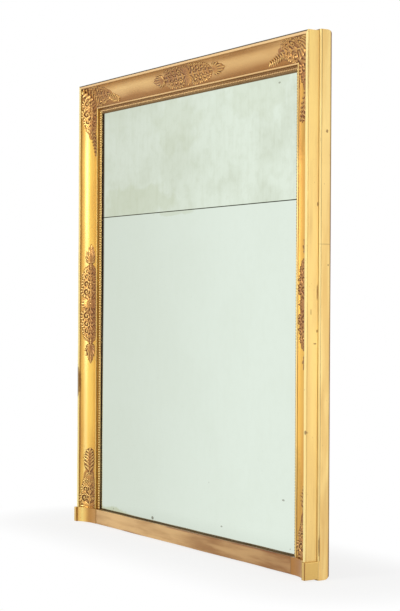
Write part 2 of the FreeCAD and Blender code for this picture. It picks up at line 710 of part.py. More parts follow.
def save_front():
    """Mouldings, bead strips, black slips, base and mitre keys."""
    holes = dowels(FIT_CLEARANCE)
    rail_x = CARCASS_HALF - BLOCK_WIDTH
    base_y = (FRONT_FACE + BASE_RECESS, CARCASS_FRONT)
    save_pair("stile_moulding", stile_piece(moulding_section()).cut([key_slot(), holes]))
    save("top_rail_moulding", rail_piece(moulding_section()).cut(both(key_slot()) + [holes]))
    save_pair("bead_strip", stile_piece(strip_section()))
    save("bead_strip_top", rail_piece(strip_section()))
    save_pair("sight_slip", stile_piece(reveal_section()))
    save("sight_slip_top", rail_piece(reveal_section()))
    save("base_rail", box((-rail_x, rail_x), base_y, (BASE_BOTTOM, BASE_TOP)).cut(holes))
    save_pair("base_block", raised(block_section(), BASE_BOTTOM, BASE_TOP).cut(holes))
    save("mitre_keys", Part.makeCompound(both(mitre_key())))
    save("locating_dowels", dowels(0))


def save_ornaments():
    """Corner, centre and foot ornaments."""
    centre = centre_ornament()
    save_pair("corner_ornament", corner_ornament())
    save_pair("centre_ornament", centre)
    save("centre_ornament_top", onto_top_rail(centre))
    save_pair("foot_ornament", foot_ornament())


def save_carcass(nail_holes):
    """Carcass stiles, rails and their pegs."""
    holes = [dowels(FIT_CLEARANCE), nail_holes]
    low, cross, high = tenons(0)
    save_pair("carcass_stile", carcass_stile().cut(holes))
    save("carcass_bottom_rail", carcass_rail((0, OPENING_BOTTOM), (0, BAY_BOTTOM), low).cut(holes))
    save("carcass_cross_rail", cross_rail())
    top = carcass_rail((OPENING_TOP, CARCASS_TOP), (BAY_TOP, CARCASS_TOP), high)
    save("carcass_top_rail", top.cut(holes))
    save("carcass_pegs", Part.makeCompound(both(pegs(0))))


def save_plates():
    """Mirror plates and what holds them."""
    low = OPENING_BOTTOM + PLATE_CLEARANCE
    high = OPENING_TOP - PLATE_CLEARANCE
    save("mirror_plate_lower", plate(low, PLATE_JOINT, PLATE_JOINT, -1))
    save("mirror_plate_upper", plate(PLATE_JOINT, high, PLATE_JOINT, 1))
    save("setting_slips", Part.makeCompound(setting_slips()))
    save("plate_wedges", Part.makeCompound(plate_wedges()))


def save_backboards(lower, upper):
    """Backboards from the bottom up, and their nails."""
    nails = []
    for number, heights in enumerate(lower + upper, 1):
        holes = board_nails(heights, FIT_CLEARANCE)
        save("backboard_" + str(number), backboard(heights, holes))
        nails += board_nails(heights, 0)
    save("backboard_nails", Part.makeCompound(nails))


def save_hangers():
    """Straps, screws and swinging rings."""
    save_pair("hanger_strap", hanger_strap())
    save("hanger_screws", Part.makeCompound(both(strap_screws(0))))
    save_pair("hanging_ring", hanging_ring())


def main():
    os.makedirs("parts", exist_ok=True)
    lower = board_heights(BAY_BOTTOM, CROSS_BOTTOM + BOARD_LEDGE, LOWER_BOARDS)
    upper = board_heights(CROSS_TOP - BOARD_LEDGE, BAY_TOP, UPPER_BOARDS)
    nail_holes = []
    for heights in lower + upper:
        nail_holes += board_nails(heights, FIT_CLEARANCE)
    save_front()
    save_ornaments()
    save_carcass(Part.makeCompound(nail_holes))
    save_plates()
    save_backboards(lower, upper)
    save_hangers()


main()
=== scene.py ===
# %% [markdown]
# # A gilt overmantel mirror
# The carpentry of this mirror is already a set of solids, and they come in as a fixed frame. What is
# left is the looks: a cove moulding covered in gold leaf, pearls round the sight, pressed leaf
# ornaments and old silvering. Most places below are read from the solids or follow from a few sizes of
# the moulding. Colours, losses and stains were set by comparing the render with a photograph.

# %% Load the frame
import math
import bmesh
import bpy
import numpy as np
from mathutils import Matrix, Vector


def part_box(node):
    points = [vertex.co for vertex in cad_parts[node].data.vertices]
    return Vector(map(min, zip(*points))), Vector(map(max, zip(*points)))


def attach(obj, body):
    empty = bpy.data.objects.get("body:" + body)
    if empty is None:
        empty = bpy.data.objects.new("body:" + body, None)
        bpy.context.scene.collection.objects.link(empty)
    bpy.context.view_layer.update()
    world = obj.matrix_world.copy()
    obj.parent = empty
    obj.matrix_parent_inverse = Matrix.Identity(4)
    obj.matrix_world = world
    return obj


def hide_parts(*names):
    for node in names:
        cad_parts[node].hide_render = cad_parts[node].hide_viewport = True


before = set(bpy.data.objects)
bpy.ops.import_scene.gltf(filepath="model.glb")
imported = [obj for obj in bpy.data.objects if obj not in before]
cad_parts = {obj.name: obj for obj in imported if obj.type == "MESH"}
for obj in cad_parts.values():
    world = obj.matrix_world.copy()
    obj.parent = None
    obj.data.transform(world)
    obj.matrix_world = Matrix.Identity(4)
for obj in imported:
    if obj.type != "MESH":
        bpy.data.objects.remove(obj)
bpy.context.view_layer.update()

MM = 0.001

# %% [markdown]
# ## The camera
# The picture was taken from the mirror's right, with a level camera. The place, the direction and the
# focal length come from a fit to the frame's straight edges. A long lens keeps the verticals almost
# parallel. The small roll is the tilt of the picture itself.

# %% Camera
EYE = Vector((3.9032, -2.5280, 0.7510))
TURN = math.radians(57.065)
ROLL = math.radians(0.315)
FOCAL_LENGTH = 87.82
SENSOR_LONG_SIDE = 36.0

camera_data = bpy.data.cameras.new("camera")
camera_data.lens = FOCAL_LENGTH
camera_data.sensor_width = SENSOR_LONG_SIDE
camera = bpy.data.objects.new("camera", camera_data)
upright = Matrix.Rotation(TURN, 4, "Z") @ Matrix.Rotation(math.pi / 2, 4, "X")
camera.matrix_world = Matrix.Translation(EYE) @ upright @ Matrix.Rotation(ROLL, 4, "Z")
bpy.context.scene.collection.objects.link(camera)
bpy.context.scene.camera = camera
print("camera at", tuple(round(x, 3) for x in EYE))

# %% [markdown]
# ## Measuring the frame
# The front is built on one section: u runs inwards from the moulding's outer side and v runs back from
# the face of its fillet. The planes are read from the solids' boxes, and the members of the section are
# the moulding's own sizes.

# %% Planes and members
stile_low, stile_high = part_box("stile_moulding_left")
HALF_FRONT = -stile_low.x
FRONT_FACE = stile_low.y
FRONT_DEPTH = stile_high.y - stile_low.y
BASE_TOP = stile_low.z
FRONT_TOP = stile_high.z
MOULDING_WIDTH = stile_high.x - stile_low.x
SIGHT_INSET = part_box("bead_strip_left")[1].x + HALF_FRONT
FILLET_WIDTH = 11 * MM
QUIRK_DEPTH = 3 * MM
COVE_EDGE = np.array([FILLET_WIDTH, QUIRK_DEPTH])
COVE_DEEP = np.array([61 * MM, 33 * MM])
COVE_END = np.array([78 * MM, 29 * MM])
SIDES = ((-1, "left"), (1, "right"))
print("front half width", round(HALF_FRONT, 4), "moulding", round(MOULDING_WIDTH, 4))
print("sight", round(SIGHT_INSET, 4), "in from the outer side")


def circle_through(a, b, c):
    """Centre and radius of the circle through a, b and c: the centre is equally far from all three."""
    system = 2 * np.array([b - a, c - a])
    centre = np.linalg.solve(system, np.array([b @ b - a @ a, c @ c - a @ a]))
    return centre, np.linalg.norm(a - centre)


def angle_round(centre, point):
    """Direction from a centre to a point of the section."""
    return math.atan2(*(point - centre)[::-1])


COVE_CENTRE, COVE_RADIUS = circle_through(COVE_EDGE, COVE_DEEP, COVE_END)
COVE_FIRST, COVE_LAST = angle_round(COVE_CENTRE, COVE_EDGE), angle_round(COVE_CENTRE, COVE_END)
print("cove radius", round(COVE_RADIUS, 4), "arc", round(COVE_RADIUS * (COVE_FIRST - COVE_LAST), 4))

# %% [markdown]
# ## Finishes from nodes
# Old gilding is thin metal leaf over red clay over chalk. It is rubbed through on the arrises, darker
# in the hollows with dirt and painted shade, and a little cloudy everywhere. Each finish is a small
# tree of nodes: noise on the object's own coordinates for the clouds, and marks that the meshes carry
# for arrises, hollows, painted highlights and painted shade. The helpers keep each tree to a few lines.

# %% Node helpers
EVEN, UPRIGHT, ACROSS = (1, 1, 1), (1, 1, 9), (9, 1, 1)


def paint(red, green, blue):
    """Screen values from 0 to 255 as a linear colour."""
    share = np.array([red, green, blue]) / 255
    linear = np.where(share <= 0.04045, share / 12.92, ((share + 0.055) / 1.055) ** 2.4)
    return (*linear.tolist(), 1.0)


def new_finish(name):
    """A material with one shader; returns the material, its tree and the shader."""
    material = bpy.data.materials.new(name)
    material.use_nodes = True
    return material, material.node_tree, material.node_tree.nodes["Principled BSDF"]


def feed(tree, socket, value):
    """Link a socket, or set a plain value."""
    if isinstance(value, bpy.types.NodeSocket):
        tree.links.new(value, socket)
    else:
        socket.default_value = value

# %% Coordinates and noise
def mapped(tree, scale, shift):
    """Object coordinates, each multiplied by its scale and moved by its shift."""
    coords = tree.nodes.new("ShaderNodeTexCoord")
    mapping = tree.nodes.new("ShaderNodeMapping")
    mapping.inputs["Scale"].default_value = scale
    mapping.inputs["Location"].default_value = shift
    tree.links.new(coords.outputs["Object"], mapping.inputs["Vector"])
    return mapping.outputs["Vector"]


def noise(tree, size, detail=3.0, stretch=EVEN, shift=0.0):
    """Noise on object coordinates; size is a cloud's width in metres, stretch lengthens it along an axis."""
    cloud = tree.nodes.new("ShaderNodeTexNoise")
    cloud.inputs["Scale"].default_value = 1.0
    cloud.inputs["Detail"].default_value = detail
    place = mapped(tree, [1 / size / k for k in stretch], (shift, shift * 0.7, shift * 1.3))
    tree.links.new(place, cloud.inputs["Vector"])
    return cloud.outputs["Fac"]

# %% Sums and mixtures
def between(tree, value, low, high, start=0.0, end=1.0):
    """A value carried from low..high to start..end, held at both ends."""
    node = tree.nodes.new("ShaderNodeMapRange")
    node.interpolation_type = "SMOOTHSTEP"
    feed(tree, node.inputs["Value"], value)
    for socket, number in zip(("From Min", "From Max", "To Min", "To Max"), (low, high, start, end)):
        node.inputs[socket].default_value = number
    return node.outputs["Result"]


def calc(tree, kind, a, b=0.0):
    """One sum: ADD, MULTIPLY, MAXIMUM and so on."""
    node = tree.nodes.new("ShaderNodeMath")
    node.operation = kind
    feed(tree, node.inputs[0], a)
    feed(tree, node.inputs[1], b)
    return node.outputs[0]


def blend(tree, share, first, second):
    """The first colour turning into the second as the share goes from 0 to 1."""
    node = tree.nodes.new("ShaderNodeMix")
    node.data_type = "RGBA"
    feed(tree, node.inputs["Factor"], share)
    feed(tree, node.inputs["A"], first)
    feed(tree, node.inputs["B"], second)
    return node.outputs["Result"]


def mark(tree, name):
    """A mark that the mesh carries on its points."""
    node = tree.nodes.new("ShaderNodeAttribute")
    node.attribute_name = name
    return node.outputs["Fac"]


def coordinate(tree, axis, kind="Object"):
    """One coordinate: X, Y or Z."""
    coords = tree.nodes.new("ShaderNodeTexCoord")
    split = tree.nodes.new("ShaderNodeSeparateXYZ")
    tree.links.new(coords.outputs[kind], split.inputs["Vector"])
    return split.outputs[axis]

# %% Places and relief
def spot(tree, centre, reach, ragged=0.6, grain=0.008):
    """1 inside an ellipsoid round a place and 0 outside it, its edge torn by noise of a grain in metres."""
    away = tree.nodes.new("ShaderNodeVectorMath")
    away.operation = "LENGTH"
    place = mapped(tree, [1 / k for k in reach], [-c / k for c, k in zip(centre, reach)])
    tree.links.new(place, away.inputs[0])
    torn = calc(tree, "MULTIPLY", noise(tree, grain, 4, EVEN, 4.4), ragged)
    edge = calc(tree, "ADD", away.outputs["Value"], torn)
    return between(tree, edge, 0.7 + ragged / 2, 1.1 + ragged / 2, 1.0, 0.0)


def spotted(tree, colour, tint, places, ragged=0.6, grain=0.008):
    """The colour with a tint over each place of a list of centres, reaches and depths."""
    for centre, reach, depth in places:
        share = calc(tree, "MULTIPLY", spot(tree, centre, reach, ragged, grain), depth)
        colour = blend(tree, share, colour, tint)
    return colour


def bump(tree, shader, value, depth):
    """Raise the surface by a value times a depth in metres."""
    node = tree.nodes.new("ShaderNodeBump")
    node.inputs["Distance"].default_value = depth
    tree.links.new(value, node.inputs["Height"])
    tree.links.new(node.outputs["Normal"], shader.inputs["Normal"])


# %% [markdown]
# ## Gold leaf
# One recipe serves the moulding, the ornaments, the base and the sides, with other colours and amounts
# of wear. Clouds run along the member because leaf was laid and rubbed lengthwise. The meshes mark what
# the noise can't know: arrises rubbed down to the clay; quirks, walls and grooves darkened by dirt and
# by painted shade; dust and painted shade on the top rail's upper arris, and dark backs to the ledge and
# the sight; paler flats that are burnish and painted highlight; and duller stretches of leaf that paint
# shade. A loss is a place where the leaf has come away, given by its centre, its reach and its depth.

# %% Gilding
MARKS = ("edge", "dirt_and_shade", "black", "burnish_and_highlight", "toning_and_shade")
CLAY = paint(140, 78, 38)
BROWN = paint(122, 76, 22)
BLACK = paint(34, 24, 12)
PALE = paint(255, 234, 160)
CLOUD_TONING, BROAD_TONING = 0.3, 0.2
SIZE_WEIGHT, SIZE_ROUGHNESS = 0.25, 0.38
DULLER = 0.14
LEAF_GRAIN = 0.3 * MM


def gilding(
    name, leaf, toning_and_shade, lengthwise, dirt_and_shade=BROWN, burnish_and_highlight=PALE, metal=0.75, rough=0.42, wear=0.5,
    losses=(), rightward_shade=0.0, patches=1.0, cloud=0.05,
):
    """Leaf and toned leaf in clouds and in marked stretches that paint shade, then burnished flats and
    painted highlights, clay on arrises, hollows darkened by dirt and painted shade, specks and losses.
    The share that grows to the right is more toned leaf, painted shade on the stiles; patches is the
    strength and cloud the width of the clouds."""
    material, tree, shader = new_finish(name)
    clouds = between(tree, noise(tree, cloud, 5, lengthwise), 0.38, 0.68)
    broad = between(tree, noise(tree, 0.28, 2, EVEN, 3.1), 0.35, 0.7)
    small = calc(tree, "MULTIPLY", clouds, CLOUD_TONING * patches)
    large = calc(tree, "MULTIPLY", broad, BROAD_TONING * patches)
    # More toned leaf towards the right: painted shade on the lamp-lit right stile, and the same darkening
    # towards the right on the base and the blocks.
    shade_to_right = between(tree, coordinate(tree, "X"), -0.5 * HALF_FRONT, HALF_FRONT, 0.0, rightward_shade)
    share = calc(tree, "ADD", small, large)
    for more in (shade_to_right, mark(tree, "toning_and_shade")):
        share = calc(tree, "ADD", share, more)
    colour = blend(tree, share, leaf, toning_and_shade)
    # Burnished flats and painted highlights.
    colour = blend(tree, mark(tree, "burnish_and_highlight"), colour, burnish_and_highlight)
    rubbing = between(tree, noise(tree, 0.03, 4, lengthwise, 7.7), 0.52, 0.7, 0.0, wear)
    colour = blend(tree, calc(tree, "MULTIPLY", mark(tree, "edge"), rubbing), colour, CLAY)
    # Hollows darkened unevenly by dirt and painted shade.
    darkening = between(tree, noise(tree, 0.02, 3, lengthwise, 1.9), 0.2, 0.5, 0.7, 1.0)
    colour = blend(tree, calc(tree, "MULTIPLY", mark(tree, "dirt_and_shade"), darkening), colour, dirt_and_shade)
    dots = between(tree, noise(tree, 0.006, 2, EVEN, 5.3), 0.735, 0.77, 0.0, 0.45)
    colour = blend(tree, dots, colour, CLAY)
    colour = spotted(tree, colour, dirt_and_shade, losses)
    colour = blend(tree, mark(tree, "black"), colour, BLACK)
    tree.links.new(colour, shader.inputs["Base Color"])
    shader.inputs["Metallic"].default_value = metal
    shader.inputs["Coat Weight"].default_value = SIZE_WEIGHT
    shader.inputs["Coat Roughness"].default_value = SIZE_ROUGHNESS
    tree.links.new(between(tree, clouds, 0.0, 1.0, rough, rough + DULLER), shader.inputs["Roughness"])
    grain = calc(tree, "ADD", noise(tree, 0.004, 3, lengthwise, 2.2), calc(tree, "MULTIPLY", dots, -2.0))
    bump(tree, shader, grain, LEAF_GRAIN)
    return material

# %% Gilding finishes
STILE_LOSSES = (
    ((-0.652, -0.078, 0.487), (0.012, 0.02, 0.058), 0.8),
    ((0.652, -0.078, 0.406), (0.004, 0.01, 0.007), 0.75),
    ((0.655, -0.063, 0.735), (0.01, 0.0015, 0.009), 0.75),
    ((0.655, -0.049, 0.648), (0.01, 0.006, 0.002), 0.75),
    ((0.655, -0.042, 0.790), (0.01, 0.002, 0.024), 0.75),
    ((0.655, -0.042, 1.030), (0.01, 0.0025, 0.006), 0.75),
    ((0.655, -0.042, 0.683), (0.01, 0.0025, 0.005), 0.75),
    ((0.572, -0.045, 0.130), (0.03, 0.05, 0.24), 0.22),
    ((0.582, -0.045, 1.310), (0.03, 0.05, 0.16), 0.3),
)
SIDE_LOSSES = (
    ((0.661, -0.016, 1.231), (0.01, 0.004, 0.005), 0.75),
    ((0.661, -0.010, 0.864), (0.01, 0.002, 0.003), 0.75),
    ((0.661, -0.036, 0.093), (0.01, 0.002, 0.03), 0.6),
    ((0.661, -0.018, 0.921), (0.01, 0.03, 0.0016), 0.3),
)
# Stiles, base and blocks grow darker towards the right; on the stiles that is painted shade.
STILE_GILT = gilding(
    "stile_gilt", paint(255, 212, 102), paint(214, 158, 76), UPRIGHT,
    losses=STILE_LOSSES, rightward_shade=0.45, patches=1.2,
)
RAIL_GILT = gilding("rail_gilt", paint(250, 210, 140), paint(178, 125, 62), ACROSS, burnish_and_highlight=paint(246, 208, 150))
STRIP_GILT = gilding("strip_gilt", paint(255, 222, 140), paint(226, 176, 104), UPRIGHT)
TOP_STRIP_GILT = gilding("top_strip_gilt", paint(216, 180, 124), paint(178, 138, 92), ACROSS)
ORNAMENT_GILT = gilding(
    "ornament_gilt", paint(236, 178, 90), paint(164, 108, 60), EVEN,
    dirt_and_shade=paint(90, 47, 18), burnish_and_highlight=paint(255, 226, 140), rough=0.3,
)
BASE_GILT = gilding(
    "base_gilt", paint(236, 194, 130), paint(154, 102, 48), ACROSS,
    metal=0.5, rough=0.45, wear=0.8, rightward_shade=0.6, patches=1.15, cloud=0.022,
)
BLOCK_GILT = gilding(
    "block_gilt", paint(246, 196, 104), paint(178, 122, 54), UPRIGHT,
    burnish_and_highlight=paint(255, 228, 136), rough=0.3, wear=0.6, rightward_shade=0.5,
)
SIDE_GILT = gilding(
    "side_gilt", paint(255, 222, 142), paint(226, 176, 92), UPRIGHT,
    metal=0.5, losses=SIDE_LOSSES, patches=1.3, cloud=0.025,
)
print("gilding finishes ready")

# %% [markdown]
# ## Sections carried along a path
# A moulding is one outline drawn along a line, so its surface is a grid: one parameter goes round the
# section and the other along the length. Arrises are rounded with a short curve, because no worked edge
# is perfectly sharp.

# %% Section helpers
PLAIN = {}


def arris(before, at, after, radius, steps=4):
    """Rounded corner: a parabola that leaves one side and joins the other at the radius from the corner."""
    before, at, after = (np.array(point, float) for point in (before, at, after))
    start = at + (before - at) * radius / np.linalg.norm(before - at)
    end = at + (after - at) * radius / np.linalg.norm(after - at)
    t = np.linspace(0, 1, steps)[:, None]
    return (1 - t) ** 2 * start + 2 * t * (1 - t) * at + t**2 * end


def arc(centre, radii, first, last, steps):
    """Points of an ellipse round a centre between two angles."""
    angle = np.linspace(first, last, steps)[:, None]
    return np.array(centre) + np.array(radii) * np.hstack([np.cos(angle), np.sin(angle)])


def section_of(*runs):
    """A closed section from runs of points, each with its marks by name; returns points and marks."""
    lines = [np.atleast_2d(points) for points, _ in runs]
    given = [(len(line), marks) for line, (_, marks) in zip(lines, runs)]
    values = {}
    for word in MARKS:
        parts = [np.broadcast_to(marks.get(word, 0.0), count) for count, marks in given]
        values[word] = np.concatenate(parts)
    return np.vstack(lines), values


def sweep(section, along, place):
    """Grid of place(u, v, s) over a closed section and the stations s, with the two end sections as caps."""
    u, v = section[:, :1], section[:, 1:]
    points = np.stack(np.broadcast_arrays(*place(u, v, along[None, :])), -1)
    index = np.arange(points.shape[0] * points.shape[1]).reshape(points.shape[:2])
    following = np.roll(index, -1, 0)
    quads = np.stack([index[:, :-1], following[:, :-1], following[:, 1:], index[:, 1:]], -1)
    faces = quads.reshape(-1, 4).tolist() + [index[:, 0].tolist(), index[:, -1].tolist()]
    return points.reshape(-1, 3), faces

# %% Piece helpers
def make_piece(name, points, faces, finish, stands_for, marks, sharp=38):
    """A mesh from points and faces, smooth up to the sharp angle in degrees, that rides on the frame."""
    mesh = bpy.data.meshes.new(name)
    mesh.from_pydata(points.tolist(), [], faces)
    for word, values in marks.items():
        mesh.attributes.new(word, "FLOAT", "POINT").data.foreach_set("value", values.astype(np.float32))
    work = bmesh.new()
    work.from_mesh(mesh)
    bmesh.ops.recalc_face_normals(work, faces=work.faces)
    work.to_mesh(mesh)
    work.free()
    mesh.shade_smooth()
    mesh.set_sharp_from_angle(angle=math.radians(sharp))
    mesh.materials.append(finish)
    piece = bpy.data.objects.new(name, mesh)
    bpy.context.scene.collection.objects.link(piece)
    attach(piece, "frame")
    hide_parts(*stands_for)
    print(name, len(points), "points", len(faces), "faces")


def make_member(name, section, marks, along, place, finish, stands_for):
    """A piece from a section carried along its stations, every station with the section's marks."""
    points, faces = sweep(section, along, place)
    carried = {word: np.repeat(values, len(along)) for word, values in marks.items()}
    make_piece(name, points, faces, finish, stands_for, carried)


# %% [markdown]
# ## The cove moulding
# From outside to inside it has a flat fillet, a narrow quirk, a wide cove and a small round astragal.
# The stiles stand on the base and are mitred at the top, so a stile's length depends on u: the further
# in, the shorter. The old wood is not quite straight, so a slow wave of a fraction of a millimetre runs
# along it, the same on both sides of a mitre.

# %% Moulding section and paths
WAVE = 0.25 * MM
WAVE_LENGTH = 0.37
ASTRAGAL = (3 * MM, 2.6 * MM)
QUIRK = 1.4 * MM
ROUND = 0.9 * MM
SCRATCH = 1.2 * MM
JOINT_DIRT = 2.4 * MM
RAIL_OUTER_ROUND = 3.5 * MM
COVE_STEPS = 34
STATIONS = np.linspace(0, 1, 73)


def wave(length):
    """Two slow sine waves of the distance from the upper corner."""
    turn = 2 * math.pi * length / WAVE_LENGTH
    return WAVE * (np.sin(turn) + 0.6 * np.sin(2.15 * turn + 1))


def on_stile(side):
    """Places section points on the left (-1) or right (1) stile: s goes up from the base to the mitre."""
    def place(u, v, s):
        z = BASE_TOP + s * (FRONT_TOP - u - BASE_TOP)
        return side * (HALF_FRONT - u), FRONT_FACE + v + wave(FRONT_TOP - z), z
    return place


def on_top(u, v, s):
    """Places section points on the top rail: s goes from the left mitre to the right one."""
    x = (HALF_FRONT - u) * (2 * s - 1)
    return x, FRONT_FACE + v + wave(HALF_FRONT - np.abs(x)), FRONT_TOP - u


def moulding_section(outer_round, top_dust_and_shade, quirk_dirt_and_shade, highlight_share, shade_tones):
    """Section of the moulding: its quirk and the ends of its cove darkened by dirt and by painted shade,
    a painted highlight across the cove, dust and painted shade on the top arris, and duller leaf along
    the cove that paints shade.
    """
    back_outer, front_outer = (0, FRONT_DEPTH), (0, 0)
    fillet_inner, quirk_bottom = (FILLET_WIDTH, 0), (FILLET_WIDTH, QUIRK_DEPTH + QUIRK)
    outer_arris = arris(back_outer, front_outer, fillet_inner, outer_round, 6)
    inner_arris = arris(front_outer, fillet_inner, quirk_bottom, ROUND)
    scratch = outer_round + 2 * SCRATCH
    cove_start = COVE_FIRST - QUIRK / COVE_RADIUS
    cove = arc(COVE_CENTRE, (COVE_RADIUS, COVE_RADIUS), cove_start, COVE_LAST + 0.02, COVE_STEPS)
    astragal = ((COVE_END[0] + MOULDING_WIDTH) / 2, COVE_END[1] - 0.2 * MM)
    # Duller leaf along the cove, painted shade.
    toning_and_shade = np.interp(cove[:, 0], *shade_tones)
    # A painted highlight across the cove, where the front lamp's line lies.
    painted_highlight = np.interp(cove[:, 0], np.array([17, 21, 25, 31]) * MM, [0, highlight_share, highlight_share, 0])
    # The cove darkened next to the quirk and below the astragal: dirt and painted shade.
    cove_dirt_and_shade = np.interp(cove[:, 0], np.array([11, 13.5, 76, 78]) * MM, [0.9 * quirk_dirt_and_shade, 0, 0, 0.6])
    # The outer side is paler as a painted highlight, and on the top rail darkened by dust and painted shade.
    side = dict(burnish_and_highlight=0.45 * (1 - top_dust_and_shade), black=0.7 * top_dust_and_shade, edge=0.25)
    return section_of(
        (back_outer, dict(dirt_and_shade=0.9)),
        ((0, FRONT_DEPTH - JOINT_DIRT / 2), dict(dirt_and_shade=0.5)),
        ((0, FRONT_DEPTH - JOINT_DIRT), side),
        ((0, scratch + 2 * SCRATCH), side),
        ((0, scratch + SCRATCH), side),
        ((SCRATCH / 3, scratch), dict(dirt_and_shade=0.8, **side)),
        ((0, scratch - SCRATCH), side),
        # The fillet and the astragal are paler, burnish and painted highlight; the top rail's outer arris is
        # darkened by dust and painted shade.
        (outer_arris, dict(edge=1, black=top_dust_and_shade, burnish_and_highlight=0.6)),
        ((outer_round + 1.2 * MM, 0), dict(burnish_and_highlight=1)),
        ((FILLET_WIDTH - 2 * MM, 0), dict(burnish_and_highlight=1)),
        (inner_arris, dict(edge=0.8, dirt_and_shade=0.2 * quirk_dirt_and_shade, burnish_and_highlight=0.5)),
        (quirk_bottom, dict(dirt_and_shade=quirk_dirt_and_shade)),
        (cove, dict(dirt_and_shade=cove_dirt_and_shade, toning_and_shade=toning_and_shade, burnish_and_highlight=painted_highlight)),
        (arc(COVE_CENTRE, (COVE_RADIUS, COVE_RADIUS), COVE_LAST + 0.01, COVE_LAST, 2), dict(dirt_and_shade=0.9)),
        (arc(astragal, ASTRAGAL, math.pi, 1.6 * math.pi, 6)[1:], dict(edge=0.2, burnish_and_highlight=0.6)),
        (arc(astragal, ASTRAGAL, 1.7 * math.pi, 2 * math.pi, 4), dict(dirt_and_shade=[0.2, 0.6, 0.8, 0.8])),
        # The wall below the astragal is darkened as painted shade.
        ((MOULDING_WIDTH, COVE_END[1] + 1.2 * MM), dict(dirt_and_shade=0.7)),
        ((MOULDING_WIDTH, COVE_END[1] + 3.5 * MM), dict(dirt_and_shade=0.3)),
        ((MOULDING_WIDTH, FRONT_DEPTH), dict(dirt_and_shade=1)),
    )


# %% Mouldings
# Duller leaf that paints shade: on the outer cove of the stiles, and on the top rail where its cove faces
# down below the fillet and towards the astragal.
STILE_SHADE_TONES = (np.array([11, 17, 24, 78]) * MM, [0.4, 0.3, 0.0, 0.0])
RAIL_SHADE_TONES = (np.array([11, 18, 25, 31, 60, 78]) * MM, [0.5, 0.4, 0.05, 0.05, 0.7, 1.0])
stile_section, stile_marks = moulding_section(ROUND, 0.0, 0.9, 0.45, STILE_SHADE_TONES)
rail_section, rail_marks = moulding_section(RAIL_OUTER_ROUND, 0.9, 0.4, 0.0, RAIL_SHADE_TONES)
for side, name in SIDES:
    make_member("stile_" + name, stile_section, stile_marks, STATIONS, on_stile(side), STILE_GILT,
                ["stile_moulding_" + name])
make_member("top_rail", rail_section, rail_marks, STATIONS, on_top, RAIL_GILT,
            ["top_rail_moulding"])

# %% [markdown]
# ## Pearls round the sight
# A thin strip lies between the moulding and the glass, with a row of pearls in a shallow channel. The
# strip is one more section, and the pearls are one small dome of two dozen faces, copied along the
# channel by adding the places of the row to the dome's points. The wall below the moulding, the flat
# beside it, the channel and the foot of each pearl are darkened by dirt and by painted shade.

# %% Bead strip
PEARL_RADIUS = 4.2 * MM
PEARL_PITCH = 8.3 * MM
PEARL_LINE = SIGHT_INSET - 1 * MM - PEARL_RADIUS
STRIP_FACE = FRONT_DEPTH - 4 * MM
CHANNEL = STRIP_FACE + 0.8 * MM
LIP = FRONT_DEPTH - 3.5 * MM
channel_start, channel_end = PEARL_LINE - PEARL_RADIUS, PEARL_LINE + PEARL_RADIUS
lip_arris = arris((channel_end, STRIP_FACE), (SIGHT_INSET, LIP), (SIGHT_INSET, FRONT_DEPTH), 0.5 * MM)
strip, strip_marks = section_of(
    # The wall below the moulding, the flat beside it and the channel are darkened: dirt and painted shade.
    ((MOULDING_WIDTH, FRONT_DEPTH), dict(dirt_and_shade=1)),
    ((MOULDING_WIDTH, STRIP_FACE), dict(dirt_and_shade=1)),
    ((channel_start - 0.5 * MM, STRIP_FACE), dict(dirt_and_shade=0.25)),
    ((channel_start, CHANNEL), dict(dirt_and_shade=0.7)),
    ((channel_end, CHANNEL), dict(dirt_and_shade=0.7)),
    ((channel_end + 0.3 * MM, STRIP_FACE), dict(edge=0.3)),
    (lip_arris, dict(dirt_and_shade=0.1)),
    ((SIGHT_INSET, LIP + 0.9 * MM), dict(black=1)),
    ((SIGHT_INSET, FRONT_DEPTH), dict(black=1)),
)
print("strip", len(strip), "points round its section")

# %% Pearls
RING_LIFTS = np.radians([-10, 32, 64])
RING_POINTS = 8


def pearl_row(start, end):
    """Domes along a line: rings of a half sphere that faces forward, and a pole, repeated at equal steps."""
    count = round(np.linalg.norm(end - start) / PEARL_PITCH)
    centres = start + (end - start) * ((np.arange(count) + 0.5) / count)[:, None]
    centres[:, 1] += wave(np.minimum(FRONT_TOP - centres[:, 2], HALF_FRONT - np.abs(centres[:, 0])))
    turns = np.arange(RING_POINTS) * 2 * math.pi / RING_POINTS
    lift, turn = np.meshgrid(RING_LIFTS, turns, indexing="ij")
    ring = np.stack([np.cos(lift) * np.cos(turn), -np.sin(lift), np.cos(lift) * np.sin(turn)], -1)
    dome = PEARL_RADIUS * np.vstack([ring.reshape(-1, 3), [[0, -1, 0]]])
    points = (centres[:, None] + dome).reshape(-1, 3)
    index = np.arange(lift.size).reshape(lift.shape)
    after = np.roll(index, -1, 1)
    sides = np.stack([index[:-1], after[:-1], after[1:], index[1:]], -1).reshape(-1, 4).tolist()
    cap = np.stack([index[-1], after[-1], np.full(RING_POINTS, lift.size)], -1).tolist()
    pattern = sides + cap + [index[0].tolist()]
    faces = [[corner + len(dome) * copy for corner in face] for copy in range(count) for face in pattern]
    # The foot of each pearl is darkened as painted shade.
    dirt_and_shade = np.where(np.arange(len(dome)) < RING_POINTS, 0.5, 0.0)
    return points, faces, {"dirt_and_shade": np.tile(dirt_and_shade, count)}


